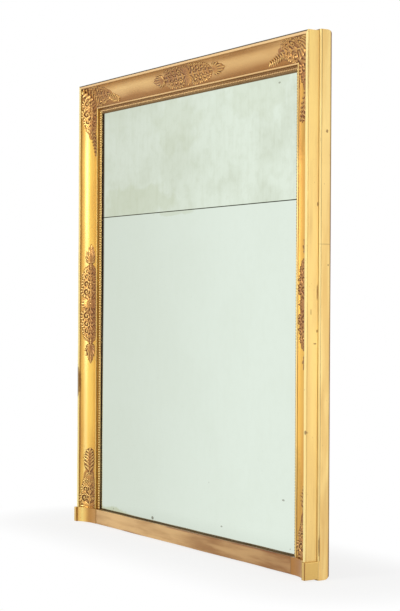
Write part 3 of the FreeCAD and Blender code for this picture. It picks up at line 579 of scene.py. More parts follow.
pearl_y = FRONT_FACE + STRIP_FACE + 0.4 * MM
pearl_x, pearl_z = HALF_FRONT - PEARL_LINE, FRONT_TOP - PEARL_LINE
for name, place, finish, first, last in (
    ("left", on_stile(-1), STRIP_GILT, (-pearl_x, BASE_TOP), (-pearl_x, pearl_z)),
    ("right", on_stile(1), STRIP_GILT, (pearl_x, BASE_TOP), (pearl_x, pearl_z)),
    ("top", on_top, TOP_STRIP_GILT, (-pearl_x, pearl_z), (pearl_x, pearl_z)),
):
    make_member("bead_strip_face_" + name, strip, strip_marks, STATIONS, place, finish,
                ["bead_strip_" + name])
    row = pearl_row(np.array([first[0], pearl_y, first[1]]), np.array([last[0], pearl_y, last[1]]))
    make_piece("pearls_" + name, row[0], row[1], finish, [], row[2], sharp=180)

# %% [markdown]
# ## The base
# A plain rail closes the front at the bottom. It is one more section, carried sideways. Its top is a
# ledge: the leaf is still there along the front arris, darker behind it, and dark at the back.

# %% Base rail
rail_low, rail_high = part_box("base_rail")
BASE_BOTTOM = rail_low.z
RAIL_ROUND = 1.2 * MM
LEDGE_BARE = 8 * MM
low_back, low_front = (rail_high.y, rail_low.z), (rail_low.y, rail_low.z)
high_front, high_back = (rail_low.y, rail_high.z), (rail_high.y, rail_high.z)
base_rail, base_rail_marks = section_of(
    (arris(low_back, low_front, high_front, RAIL_ROUND), dict(edge=1)),
    ((rail_low.y, rail_low.z + 5 * MM), PLAIN),
    ((rail_low.y, rail_high.z - 5 * MM), PLAIN),
    (arris(low_front, high_front, high_back, RAIL_ROUND), dict(edge=1)),
    # Behind the front arris the top grows darker, and it is dark at the back.
    ((rail_low.y + 2 * RAIL_ROUND, rail_high.z), dict(dirt_and_shade=0.3)),
    ((rail_low.y + LEDGE_BARE, rail_high.z), dict(dirt_and_shade=0.5)),
    (high_back, dict(black=1)),
    (low_back, PLAIN),
)


def on_base(u, v, s):
    """Base rail points: s goes from its left end to its right one, with a slow wave in both directions."""
    return rail_low.x + s * (rail_high.x - rail_low.x), u + wave(s), v + wave(s + 0.4)


make_member("base_rail_face", base_rail, base_rail_marks, STATIONS, on_base, BASE_GILT,
            ["base_rail"])

# %% [markdown]
# ## The blocks
# A block stands at each end of the rail, a step proud of the stile above it. Its face has a narrow
# fillet, steps back and then hollows down to the rail. A block is its plan carried up, drawn in a
# little at both ends, so that no edge is sharp.

# %% Base blocks
block_low, block_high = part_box("base_block_left")
BLOCK_FILLET = 13 * MM
BLOCK_STEP = 6 * MM
BLOCK_HOLLOW = 8 * MM
BLOCK_OVERLAP = 1 * MM
DRAW_DEPTH = 10 * MM
BLOCK_LEVELS = np.array([0, 0.4, 1.2, 4, 24, 45, 47.8, 48.6, 49]) * MM
BLOCK_DRAW = np.array([1.2, 0.35, 0, 0, 0, 0, 0, 0.35, 1.2]) * MM
block_width, block_front, block_back = block_high.x - block_low.x, block_low.y, block_high.y
slope_start = np.array([BLOCK_FILLET, block_front + BLOCK_STEP])
slope_end = np.array([block_width, rail_low.y - BLOCK_OVERLAP])
slope_middle = (slope_start + slope_end) / 2 + np.array([0, BLOCK_HOLLOW])
slope_centre, slope_radius = circle_through(slope_start, slope_middle, slope_end)
slope_angles = [angle_round(slope_centre, point) for point in (slope_start, slope_end)]
slope = arc(slope_centre, (slope_radius, slope_radius), *slope_angles, 20)[1:-1]
# A painted highlight on the upper part of the slope, and painted shade as duller leaf on its lower part.
slope_highlight = np.interp(slope[:, 0], np.array([16, 24, 30, 38, 48]) * MM, [0, 0.4, 0.8, 0.3, 0])
slope_shade = np.interp(slope[:, 0], np.array([40, 58, 103]) * MM, [0, 0.75, 0.6])
outer_corner, fillet_corner = (0, block_front), (BLOCK_FILLET, block_front)
# Darkened at the outer corner, in the step behind the fillet and at the inner end, as painted shade; the
# fillet and the outer side are paler as painted highlight, and the fillet is also a little duller.
block, block_marks = section_of(
    ((0, block_back), dict(dirt_and_shade=0.5)),
    ((0, block_back - 1 * MM), dict(burnish_and_highlight=0.35)),
    ((0, block_front + 4 * MM), dict(burnish_and_highlight=0.35)),
    (arris((0, block_back), outer_corner, fillet_corner, 1.0 * MM), dict(edge=0.6, dirt_and_shade=0.7)),
    ((2.2 * MM, block_front), dict(burnish_and_highlight=0.5, toning_and_shade=0.4)),
    ((BLOCK_FILLET - 3 * MM, block_front), dict(burnish_and_highlight=0.5, toning_and_shade=0.4)),
    (arris(outer_corner, fillet_corner, slope_start, 0.8 * MM), dict(edge=0.8, dirt_and_shade=0.6)),
    ((BLOCK_FILLET, block_front + 0.6 * BLOCK_STEP), dict(dirt_and_shade=0.5)),
    (slope_start, dict(dirt_and_shade=0.7)),
    (slope, dict(burnish_and_highlight=slope_highlight, toning_and_shade=slope_shade)),
    (arris(slope_middle, slope_end, (block_width, block_back), 0.8 * MM), dict(edge=0.6, dirt_and_shade=0.8)),
    ((block_width, block_back), dict(dirt_and_shade=0.5)),
)


def on_block(side):
    """Places block points: s is a level, and the outline is drawn in to its middle near both ends."""
    def place(u, v, s):
        draw = np.interp(s, BLOCK_LEVELS, BLOCK_DRAW)
        x = u + draw * np.sign(block_width / 2 - u)
        inwards = np.clip(((block_front + block_back) / 2 - v) / DRAW_DEPTH, 0, 1)
        return side * (-block_low.x - x), v + draw * inwards, BASE_BOTTOM + s
    return place


for side, name in SIDES:
    make_member("base_block_face_" + name, block, block_marks, BLOCK_LEVELS, on_block(side), BLOCK_GILT,
                ["base_block_" + name])

# %% [markdown]
# ## Gilded sides
# Behind the moulding stands the carcass, a little wider than the front. Only what shows was gilded: a
# coat of chalk and leaf, less than a millimetre thick, goes round the front edge as a bead, dips into a
# groove and ends on the rounded back edge. It is a thin closed section that follows the stile's own
# line, square beside the blocks, cut at the heel and rounded at the head.

# %% Side coats
carcass_low, carcass_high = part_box("carcass_stile_left")
CARCASS_HALF, CARCASS_FRONT, CARCASS_TOP = -carcass_low.x, carcass_low.y, carcass_high.z
CARCASS_ROUND = 5 * MM
BACK_ROUND = 3 * MM
HEEL = 18 * MM
HEAD = 14 * MM
SQUARE_ROUND = 0.5 * MM
COAT = 0.8 * MM
UNDER = 0.2 * MM
COAT_START = CARCASS_HALF - HALF_FRONT + 0.2 * MM


def coat_section(radius):
    """Closed line round the coat: the stile's line moved out by the coat, then back just under the wood."""
    turn = np.radians(np.append(np.linspace(0, 66, 8), [74, 80, 86, 90]))
    bead = np.stack([radius - radius * np.sin(turn), CARCASS_FRONT + radius - radius * np.cos(turn)], -1)
    bead_out = np.stack([-np.sin(turn), -np.cos(turn)], -1)
    bead_coat = COAT * np.append(np.linspace(1, 1.3, 8), [0.9, 0.1, 0.9, 1])
    depths = np.array([CARCASS_FRONT + 8 * MM, -18 * MM, -14 * MM, -10.5 * MM, -7.5 * MM, -5.5 * MM, -4 * MM])
    flat = np.stack([0 * depths, depths], -1)
    turn = np.radians([0, 20, 40, 60])
    back = np.stack([BACK_ROUND * (1 - np.cos(turn)), BACK_ROUND * (np.sin(turn) - 1)], -1)
    back_out = np.stack([-np.cos(turn), np.sin(turn)], -1)
    line = np.vstack([[[COAT_START, CARCASS_FRONT]], bead, flat, back])
    out = np.vstack([[[0, -1]], bead_out, [[-1, 0]] * 7, back_out])
    coat = np.concatenate([[COAT], bead_coat, [COAT] * 7, COAT * np.array([0.9, 0.7, 0.5, 0.3])])
    # The groove and the rounded back edge are darkened as painted shade, and the first point by the joint
    # with the moulding; the bead on the front edge is paler as a painted highlight.
    dirt_and_shade = np.concatenate([[0.9], [0] * 8, [0.4, 1, 0.4, 0], [0] * 5 + [0.3, 0.8], [1, 1, 1, 1]])
    edge = np.concatenate([[0], [0.4] * 8, [0.2] * 4, [0.25] * 7, [0.5] * 4])
    burnish_and_highlight = np.concatenate([[0], [0.6] * 8, [0] * 15])
    return section_of(
        (line + out * coat[:, None], dict(dirt_and_shade=dirt_and_shade, edge=edge, burnish_and_highlight=burnish_and_highlight)),
        ((line - out * UNDER)[::-1], dict(dirt_and_shade=1)),
    )


rounded, coat_marks = coat_section(CARCASS_ROUND)
squared = coat_section(SQUARE_ROUND)[0]
beside_block = [0.4 * MM, 30 * MM, BASE_TOP - 0.5 * MM, BASE_TOP + 0.5 * MM]
COAT_HEIGHTS = np.concatenate([beside_block, np.linspace(0.08, 1, 61) * CARCASS_TOP])


def on_side(side):
    """Places coat points: square up to the base's top, rounded above, between the curves of heel and head."""
    def place(u, v, s):
        square = s < BASE_TOP
        u = np.where(square, squared[:, :1], rounded[:, :1])
        v = np.where(square, squared[:, 1:], rounded[:, 1:])
        heel, head = (r - np.sqrt(np.clip(r**2 - np.clip(v + r, 0, r) ** 2, 0, None)) for r in (HEEL, HEAD))
        return side * (CARCASS_HALF - u), v, np.clip(s, heel, CARCASS_TOP - head)
    return place


for side, name in SIDES:
    make_member("side_coat_" + name, rounded, coat_marks, COAT_HEIGHTS, on_side(side), SIDE_GILT,
                [])

# %% [markdown]
# ## Carving by strokes
# The leaf ornaments were pressed in a mould and glued into the cove. A carver sees them as strokes:
# leaves, scrolls, stems and beads, each a line with a width and a height. Here a stroke is just that,
# and the relief at a place is the highest stroke that covers it. All strokes are in millimetres, s
# along the member and t across it.

# %% Strokes
def bend_line(points, steps=12):
    """Bezier curve of three points: repeated mixing of neighbours."""
    t = np.linspace(0, 1, steps)[:, None]
    level = [np.array(point, float) + 0 * t for point in points]
    while len(level) > 1:
        level = [(1 - t) * a + t * b for a, b in zip(level, level[1:])]
    return level[0]


def lobe(root, angle, length, width, top=3.2, curl=0.25):
    """One leaf: a bent line from its root, widest past a third of its length, with a groove for the vein."""
    root, way = np.array(root, float), np.array([math.cos(angle), math.sin(angle)])
    bow = np.array([-way[1], way[0]]) * curl * length * 0.5
    line = bend_line([root, root + way * length * 0.55 - bow, root + way * length + bow])
    k = np.linspace(0, 1, len(line))
    half = width * np.sin(math.pi * np.clip(0.12 + 0.86 * k, 0, 1) ** 0.75) + 0.35
    return line, half, top * (0.55 + 0.45 * np.sin(math.pi * k**0.8)), 0.4


def scroll(root, centre, radius, first=2.3, turns=-1.3, width=2.4, top=3.6):
    """Stem and spiral: the stem runs from the root into a spiral that closes on its centre."""
    k = np.linspace(0, 1, 30)
    angle = first + turns * 2 * math.pi * k
    shrinking = (radius * (1 - 0.78 * k))[:, None]
    spiral = np.array(centre) + shrinking * np.stack([np.cos(angle), np.sin(angle)], -1)
    way = math.copysign(1, turns) * np.array([-math.sin(first), math.cos(first)])
    reach = np.linalg.norm(spiral[0] - np.array(root)) * 0.55
    line = np.vstack([bend_line([root, spiral[0] - way * reach, spiral[0]], 10)[:-1], spiral])
    share = np.linspace(0, 1, len(line))
    return line, width * (1 - 0.45 * share), top * (0.7 + 0.3 * share), 0.0


def boss(centre, radius, top):
    """Round bead."""
    return np.array([centre, np.array(centre) + [0.01, 0]], float), np.full(2, radius), np.full(2, top), 0.0


def stem(start, end):
    """Straight stem along the axis."""
    return np.array([[start, 0.0], [end, 0]]), np.array([2.6, 1.8]), np.array([3.4, 3.0]), 0.0


def pad(stations, halves, top=1.1):
    """Low ground under the leaves, as wide as given at each station of the axis."""
    line = np.stack([np.array(stations, float), np.zeros(len(stations))], -1)
    return line, np.array(halves, float), np.full(len(stations), top), 0.0

# %% Carving
def carve(s, t, strokes):
    """Height over a grid: a place at distance d from a stroke of half-width w and height h rises to
    h * sqrt(1 - (d / w)^2), less a groove along a vein; the highest stroke wins."""
    height = np.zeros_like(s)
    for line, half, top, vein in strokes:
        start, step = line[:-1], np.diff(line, axis=0)
        reach = np.maximum((step**2).sum(1), 1e-9)
        ds, dt = s[..., None] - start[:, 0], t[..., None] - start[:, 1]
        k = np.clip((ds * step[:, 0] + dt * step[:, 1]) / reach, 0, 1)
        gap = np.hypot(ds - k * step[:, 0], dt - k * step[:, 1]) / (half[:-1] + k * np.diff(half))
        rise = (top[:-1] + k * np.diff(top)) * np.sqrt(np.clip(1 - gap**2, 0, None))
        rise *= 1 - vein * np.exp(-((gap / 0.3) ** 2))
        height = np.maximum(height, rise.max(-1))
    return height


# %% [markdown]
# ## Three patterns
# The long ornament in the middle of each member is the same in all four quarters: a rosette, four
# scrolls that shrink outwards, a chain of beads and an end leaf. The corner has leaves along its mitre
# and one leg of scrolls on each side, which runs out in a feather leaf along the sight. The foot grows
# up from the base block to a broader feather. So each pattern is written for one quarter, leg or half,
# and mirrored.

# %% Motifs
def flipped(strokes):
    """The same strokes on the other side of the axis."""
    return [(line * [1, -1], half, top, vein) for line, half, top, vein in strokes]


def leafy_scroll(root, centre, radius, leaves=6):
    """A scroll with a bead in its eye and leaves round its outer side."""
    strokes = [scroll(root, centre, radius), boss(centre, radius * 0.3, 4.6)]
    for angle in np.linspace(-0.2, 2.6, leaves):
        rim = np.array(centre) + radius * np.array([math.cos(angle), math.sin(angle)])
        strokes.append(lobe(rim, angle + 0.35, radius * 0.85, radius * 0.3, 3.0))
    return strokes


def husks(starts, length, width=3.4):
    """Pairs of narrow leaves that sheathe a stem."""
    return [lobe((start, 0.5), math.radians(a), length, width, 3.8) for start in starts for a in (16, 38)]


def palmette(root, length):
    """Fan of leaves with its longest along the axis."""
    shares, angles = (1, 0.84, 0.67, 0.49, 0.31), np.radians([0, 13, 29, 50, 76])
    fan = zip(shares, angles)
    return [lobe((root, 0), a, length * share, length * 0.05, 4.4, -0.12 if a else 0) for share, a in fan]


def feather(start, end, reach, count, width):
    """Leaf of a count of slanting lobes along a stem, longest in its middle."""
    roots = np.linspace(start, end, count)
    reaches = reach * np.interp(roots, [start, start + 0.35 * (end - start), end], [0.75, 1, 0.6])
    slant = math.radians(44)
    leaves = [lobe((root, 0.5), slant, length, width, 4.6) for root, length in zip(roots, reaches)]
    return leaves + [lobe((end, 0), 0, 0.6 * reach, width, 4.6, 0)]

# %% Patterns
def centre_strokes():
    """A quarter of the long ornament, from its middle to the tip of its end leaf."""
    stations = (0, 20, 45, 75, 100, 116, 124, 140, 160, 185, 204)
    strokes = [pad(stations, (31, 31, 30, 29, 28, 20, 7, 6, 18, 11, 1))]
    strokes += [pad((141, 160, 185, 200), (5, 17, 10, 1), 2.2), boss((0, 0), 5, 5.4), stem(8, 142)]
    strokes += [lobe((3, 0), math.radians(a), 15, 5, 4.4, 0) for a in (0, 45, 90)]
    rosette = ((90, 33), (73, 32), (57, 28), (40, 20))
    strokes += [lobe((2, 2), math.radians(a), length, 5, 3.6, 0.1) for a, length in rosette]
    strokes += leafy_scroll((14, 6), (42, 17), 12.5) + leafy_scroll((44, 0), (70, 16), 11.5)
    strokes += leafy_scroll((72, 0), (95, 15), 10.5) + leafy_scroll((96, 0), (113, 13), 8)
    strokes += husks((22, 52, 80, 104), 16)
    strokes += [boss((s, 0), r, 3.6) for s, r in ((128, 3.2), (135, 2.8), (141, 2.4))]
    return strokes + palmette(141, 63)


def corner_strokes(mitre):
    """One leg of a corner ornament; mitre gives the mitre's place along the leg for a place across it."""
    body = leafy_scroll((70, 4), (98, 20), 13) + leafy_scroll((100, 2), (124, 15), 10)
    body += leafy_scroll((126, 2), (145, 11), 7) + husks((86, 112, 134), 15)
    strokes = [pad((40, 70, 110, 145, 165), (36, 35, 30, 20, 12)), stem(60, 165)] + body + flipped(body)
    strokes += flipped(leafy_scroll((44, 2), (62, 18), 11))
    for share in (0.02, 0.16, 0.3, 0.45, 0.6, 0.75, 0.9):
        across = 37 - 74 * share
        root = (mitre(across) + 0.5, across)
        strokes.append(lobe(root, math.radians(-78 + 34 * share), 30 - 10 * share, 5.5, 4.6, 0.15))
        strokes.append(lobe(root, math.radians(-40 + 40 * share), 24 - 6 * share, 4.2, 3.4, 0.1))
    tail = [stem(150, 226)] + feather(152, 216, 19, 7, 3.2)
    for line, half, top, vein in tail + flipped(tail):
        lean = np.interp(line[:, :1], [150, 235], [8, 30])
        strokes.append((line + np.hstack([0 * lean, lean]), half * 0.8, top, vein))
    return strokes


def foot_strokes():
    """Half of a foot ornament, from the base block to the tip of its leaf."""
    strokes = [pad((0, 25, 70, 110, 125, 150, 185, 204), (35, 35, 31, 24, 16, 23, 19, 4)), stem(0, 190)]
    first = ((82, 34), (60, 34), (40, 26))
    strokes += [lobe((1, 3), math.radians(a), length, 5.5, 3.8, 0.1) for a, length in first]
    strokes += leafy_scroll((8, 0), (34, 20), 13) + leafy_scroll((36, 0), (64, 16), 11)
    strokes += leafy_scroll((66, 0), (90, 12), 8.5) + leafy_scroll((92, 0), (110, 8.5), 6)
    strokes += husks((20, 46, 74, 98), 16) + [boss((120, 0), 3.4, 3.8), boss((128, 0), 2.8, 3.6)]
    return strokes + feather(126, 184, 36, 6, 4.4)


# %% [markdown]
# ## Relief on the cove
# The pattern lies on a flat grid first. Cells that rise are kept, and a closed skin is made of them:
# the raised grid in front, its ground just inside the cove behind, and a wall along every open edge.
# Then the grid is bent: t becomes an angle round the cove's centre and the height moves a point towards
# that centre.

# %% Relief helpers
GRID = 1.2
CARVED_HALF = 39.0
CORNER_REACH = 236.0
STILE_TAIL = 20.0
THIN, PROUD, SUNK = 0.15, 0.05, 0.6
CLOSING_PASSES = 3
SOFT_PASSES = 10
LEAF_SHARP = 70


def soften(height):
    """Each place becomes half of itself and a quarter of each neighbour, along both directions."""
    for axis in (0, 1):
        height = (np.roll(height, 1, axis) + 2 * height + np.roll(height, -1, axis)) / 4
    return height


def relief(height):
    """Closed skin over the cells that rise: the points it uses, its faces, and their lift."""
    kept = np.max([height[:-1, :-1], height[1:, :-1], height[1:, 1:], height[:-1, 1:]], 0) > THIN
    for _ in range(CLOSING_PASSES):
        a, b, c, d = kept[:-1, :-1], kept[1:, :-1], kept[1:, 1:], kept[:-1, 1:]
        touch = (a & c & ~b & ~d) | (b & d & ~a & ~c)
        for block in (a, b, c, d):
            block |= touch
    index = np.arange(height.size).reshape(height.shape)
    corners = np.stack([index[:-1, :-1], index[1:, :-1], index[1:, 1:], index[:-1, 1:]], -1)
    faces = [corners[kept], corners[kept][:, ::-1] + height.size]
    padded = np.pad(kept, 1)
    for ds, dt, first, second in ((-1, 0, 0, 3), (1, 0, 2, 1), (0, -1, 1, 0), (0, 1, 3, 2)):
        beside = padded[1 + ds:1 + ds + kept.shape[0], 1 + dt:1 + dt + kept.shape[1]]
        bare = kept & ~beside
        a, b = corners[..., first][bare], corners[..., second][bare]
        faces.append(np.stack([b, a, a + height.size, b + height.size], -1))
    used, faces = np.unique(np.vstack(faces).ravel(), return_inverse=True)
    lift = np.concatenate([height.ravel() + PROUD, np.full(height.size, -SUNK)])
    return used, faces.reshape(-1, 4).tolist(), lift[used]


def on_cove(t, lift):
    """Section point over the cove: t runs inwards along its arc from the middle, lift to its centre."""
    angle = (COVE_FIRST + COVE_LAST) / 2 - t * MM / COVE_RADIUS
    reach = COVE_RADIUS - lift * MM
    return COVE_CENTRE[0] + reach * np.cos(angle), COVE_CENTRE[1] + reach * np.sin(angle)


def ornament(name, height, s, t, place, toning_and_shade):
    """An ornament from heights over a grid, a function that places s, t and lift, and its toning, which
    paints shade.
    """
    used, faces, lift = relief(height)
    around = height
    for _ in range(SOFT_PASSES):
        around = soften(around)
    detail = np.concatenate([(height - around).ravel(), np.full(height.size, -SUNK)])[used]
    points = np.stack(place(np.tile(s.ravel(), 2)[used], np.tile(t.ravel(), 2)[used], lift), -1)
    toning_and_shade = np.tile(toning_and_shade.ravel(), 2)[used]
    # Raised parts get a painted highlight, and recesses get painted shade together with some dirt.
    relief_highlight = np.clip((detail - 0.2) / 0.7, 0, 0.9) * (1 - toning_and_shade)
    relief_shade = np.clip((0.1 - detail) / 0.65, 0, 1) * (1 - 0.2 * toning_and_shade)
    marks = {"dirt_and_shade": relief_shade, "burnish_and_highlight": relief_highlight, "toning_and_shade": toning_and_shade}
    solid = name.replace("carved", "ornament")
    make_piece(name, points, faces, ORNAMENT_GILT, [solid], marks, LEAF_SHARP)


# %% [markdown]
# ## Ornaments in the middle and at the feet
# The same pattern serves both stiles and the top rail. Its leaf is duller unevenly, as painted
# shade: little on the outer half of a stile, more on its inner half, and an even amount on the rail.

# %% Ornaments on straight members
# Duller leaf that paints shade on the rail's ornaments and, scaled, on the feet.
TOP_ORNAMENT_SHADE = 0.5
FOOT_SHADE = 0.8


def stile_shade(t):
    """Duller leaf as painted shade: little on the outer half of a stile's ornament, much on its inner half.
    """
    return np.interp(t, [-39, -8, 8, 39], [0.05, 0.2, 0.65, 0.8])


def upright_place(side, level):
    """Places s up the left or right stile from a level."""
    def place(s, t, lift):
        u, v = on_cove(t, lift)
        z = level + s * MM
        return side * (HALF_FRONT - u), FRONT_FACE + v + wave(FRONT_TOP - z), z
    return place


def level_place(s, t, lift):
    """Places s along the top rail from its middle."""
    u, v = on_cove(t, lift)
    return s * MM, FRONT_FACE + v + wave(HALF_FRONT - np.abs(s * MM)), FRONT_TOP - u


across = np.arange(-CARVED_HALF, CARVED_HALF + 0.1, GRID)
centre_low, centre_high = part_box("centre_ornament_left")
middle, reach = (centre_low.z + centre_high.z) / 2, (centre_high.z - centre_low.z) / 2 / MM + 1
s, t = np.meshgrid(np.arange(-reach, reach + 0.1, GRID), across, indexing="ij")
centre_height = soften(carve(np.abs(s), np.abs(t), centre_strokes()))
for side, name in SIDES:
    ornament("centre_carved_" + name, centre_height, s, t, upright_place(side, middle), stile_shade(t))
ornament("centre_carved_top", centre_height, s, t, level_place, np.full(t.shape, TOP_ORNAMENT_SHADE))
s, t = np.meshgrid(np.arange(0, reach + 0.1, GRID), across, indexing="ij")
foot_height = carve(s, np.abs(t), foot_strokes())
foot_shade = FOOT_SHADE * stile_shade(t)
for side, name in SIDES:
    ornament("foot_carved_" + name, foot_height, s, t, upright_place(side, BASE_TOP), foot_shade)

# %% [markdown]
# ## Ornaments round the mitres
# Pressed composition is soft while warm, so a corner ornament can be bent round the mitre. One grid
# covers both legs: it is sheared to the mitre in its middle and runs square at both tips. The tail on
# the stile is a little longer than the one on the rail.

# %% Ornaments round the mitres
def corner_place(side):
    """Places a leg share k, from -1 on the top rail over 0 on the mitre to 1 on the stile."""
    def place(k, t, lift):
        u, v = on_cove(t, lift)
        ground = on_cove(t, 0)[0]
        s = ground + np.abs(k) * (CORNER_REACH * MM - ground) + (u - ground) * (1 - np.abs(k))
        s = s + np.interp(k, [0.5, 1], [0, STILE_TAIL * MM])
        x = side * (HALF_FRONT - np.where(k < 0, s, u))
        return x, FRONT_FACE + v + wave(s), FRONT_TOP - np.where(k < 0, u, s)
    return place


legs = np.linspace(-1, 1, 2 * round(CORNER_REACH * 0.8 / GRID) + 1)
k, t = np.meshgrid(legs, across, indexing="ij")
mitre_line = on_cove(t, 0)[0] / MM
s = mitre_line + np.abs(k) * (CORNER_REACH - mitre_line)
corner_height = soften(carve(s, t, corner_strokes(lambda t: on_cove(t, 0)[0] / MM)))
# Painted shade: the rail leg like the rail's ornament, the stile leg like a stile's.
corner_shade = np.where(k < 0, TOP_ORNAMENT_SHADE, stile_shade(t))
for side, name in SIDES:
    ornament("corner_carved_" + name, corner_height, k, t, corner_place(side), corner_shade)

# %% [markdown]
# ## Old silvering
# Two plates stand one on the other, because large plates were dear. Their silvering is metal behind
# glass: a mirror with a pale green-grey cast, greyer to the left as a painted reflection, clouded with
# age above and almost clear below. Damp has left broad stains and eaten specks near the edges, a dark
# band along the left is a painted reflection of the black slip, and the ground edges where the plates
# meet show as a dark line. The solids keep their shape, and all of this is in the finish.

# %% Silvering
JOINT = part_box("mirror_plate_upper")[0].z
SIGHT_HALF = HALF_FRONT - SIGHT_INSET
FOXING = paint(96, 88, 62)
GROUND_EDGE = paint(92, 94, 74)
CLOUDED = paint(190, 198, 174)
STAIN = paint(190, 198, 166)
SLIP_REFLECTION = paint(50, 34, 20)
REFLECTION_WIDTH, REFLECTION_SPREAD = 10 * MM, 8 * MM
DAMP_SIDE, DAMP_LOW = 30 * MM, 35 * MM
JOINT_LINE = (1.1 * MM, 1.9 * MM)
GLASS_WAVE = 0.4 * MM


def dress(finish, *nodes):
    """Give solids of the frame a finish."""
    for node in nodes:
        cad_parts[node].data.materials.clear()
        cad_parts[node].data.materials.append(finish)


def silvering(name, left, right, clouding, low, stains, specks):
    """Two colours across the plate as a painted reflection, clouds and stains, then foxing, the painted
    reflection of the slip along the left edge and a dark joint.
    """
    material, tree, shader = new_finish(name)
    aside, up = coordinate(tree, "X"), coordinate(tree, "Z")
    # Greyer to the left and paler to the right: a painted reflection.
    colour = blend(tree, between(tree, aside, -SIGHT_HALF, 0.8 * SIGHT_HALF), left, right)
    dull = calc(tree, "MULTIPLY", between(tree, noise(tree, 0.17, 5, EVEN, 2.4), 0.4, 0.66), 0.7)
    mottling = between(tree, noise(tree, 0.03, 5, EVEN, 6.1), 0.42, 0.7)
    streaks = between(tree, noise(tree, 0.012, 3, (1, 1, 10), 3.7), 0.4, 0.75)
    for layer, amount in ((mottling, 0.4), (streaks, 0.25)):
        dull = calc(tree, "ADD", dull, calc(tree, "MULTIPLY", layer, amount))
    colour = blend(tree, calc(tree, "MULTIPLY", dull, clouding), colour, CLOUDED)
    colour = spotted(tree, colour, STAIN, stains, ragged=1.6, grain=0.05)
    beside = between(tree, calc(tree, "ABSOLUTE", aside), SIGHT_HALF - DAMP_SIDE, SIGHT_HALF, 0.0, 0.5)
    edges = calc(tree, "MAXIMUM", beside, between(tree, up, low + DAMP_LOW, low))
    damp = calc(tree, "ADD", noise(tree, 0.016, 4, EVEN, 8.2), calc(tree, "MULTIPLY", edges, 0.1))
    eaten = between(tree, damp, 0.76, 0.82, 0.0, 0.8)
    colour = blend(tree, eaten, colour, FOXING)
    colour = spotted(tree, colour, FOXING, specks)
    # A dark band along the left edge, wider higher up: the painted reflection of the black slip.
    inwards = calc(tree, "SUBTRACT", aside, between(tree, up, 0.2, 0.9, 0.0, REFLECTION_SPREAD))
    reflected_slip = between(tree, inwards, -SIGHT_HALF, REFLECTION_WIDTH - SIGHT_HALF, 0.95, 0.0)
    colour = blend(tree, reflected_slip, colour, SLIP_REFLECTION)
    gap = calc(tree, "ABSOLUTE", calc(tree, "SUBTRACT", up, JOINT))
    colour = blend(tree, between(tree, gap, *JOINT_LINE, 1.0, 0.0), colour, GROUND_EDGE)
    tree.links.new(colour, shader.inputs["Base Color"])
    shader.inputs["Metallic"].default_value = 1.0
    tree.links.new(between(tree, eaten, 0.0, 0.8, 0.03, 0.5), shader.inputs["Roughness"])
    bump(tree, shader, noise(tree, 0.3, 1, EVEN, 1.1), GLASS_WAVE)
    return material

# %% Plates
GLASS_MIDDLE = -0.03
UPPER_STAINS = (
    ((-0.33, GLASS_MIDDLE, JOINT + 0.04), (0.24, 1, 0.06), 0.35),
    ((0.36, GLASS_MIDDLE, JOINT + 0.33), (0.18, 1, 0.09), 0.16),
    ((-0.08, GLASS_MIDDLE, JOINT + 0.27), (0.14, 1, 0.09), 0.16),
)
LOWER_STAINS = (
    ((-0.1, GLASS_MIDDLE, JOINT - 0.004), (0.12, 1, 0.012), 0.35),
    ((-0.48, GLASS_MIDDLE, 0.052), (0.12, 1, 0.02), 0.7),
)
UPPER_SPECKS = (((0.469, GLASS_MIDDLE, 1.386), (0.006, 1, 0.003), 0.5),)
LOWER_SPECKS = (
    ((0.498, GLASS_MIDDLE, 0.202), (0.0075, 1, 0.0035), 0.5),
    ((-0.216, GLASS_MIDDLE, 0.065), (0.008, 1, 0.006), 0.75),
    ((0.185, GLASS_MIDDLE, 0.088), (0.006, 1, 0.003), 0.5),
)
# The left and right colours of each plate are a painted reflection.
UPPER_SILVER = silvering(
    "upper_silvering", paint(212, 221, 206), paint(226, 237, 222), 0.4, JOINT, UPPER_STAINS, UPPER_SPECKS
)
LOWER_SILVER = silvering(
    "lower_silvering", paint(211, 221, 208), paint(226, 237, 225), 0.06, BASE_TOP, LOWER_STAINS, LOWER_SPECKS
)
dress(UPPER_SILVER, "mirror_plate_upper")
dress(LOWER_SILVER, "mirror_plate_lower")
print("plates meet at", round(JOINT, 4))

# %% [markdown]
# ## Black slip, bare wood and iron
# A thin slip painted black hides the strip's reflection beside the glass. The carcass and the
# backboards are bare softwood, brown with age, and every board is cut from another place, so its grain
# is shifted. Pegs, wedges and keys are a harder, paler wood. The straps, rings, screws and nails are
# iron with a thin brown rust.

# %% Plain finishes
DUST = paint(120, 104, 84)
RUST = paint(104, 62, 36)


def lacquer(name, coat, worn):
    """Dark paint, rubbed brown in patches."""
    material, tree, shader = new_finish(name)
    patches = between(tree, noise(tree, 0.02, 4, (3, 3, 6), 3.3), 0.5, 0.72)
    colour = blend(tree, calc(tree, "MULTIPLY", patches, 0.35), coat, worn)
    tree.links.new(colour, shader.inputs["Base Color"])
    tree.links.new(between(tree, patches, 0.0, 1.0, 0.7, 0.85), shader.inputs["Roughness"])
    shader.inputs["Specular IOR Level"].default_value = 0.15
    bump(tree, shader, noise(tree, 0.003, 3, EVEN, 1.5), 0.0002)
    return material


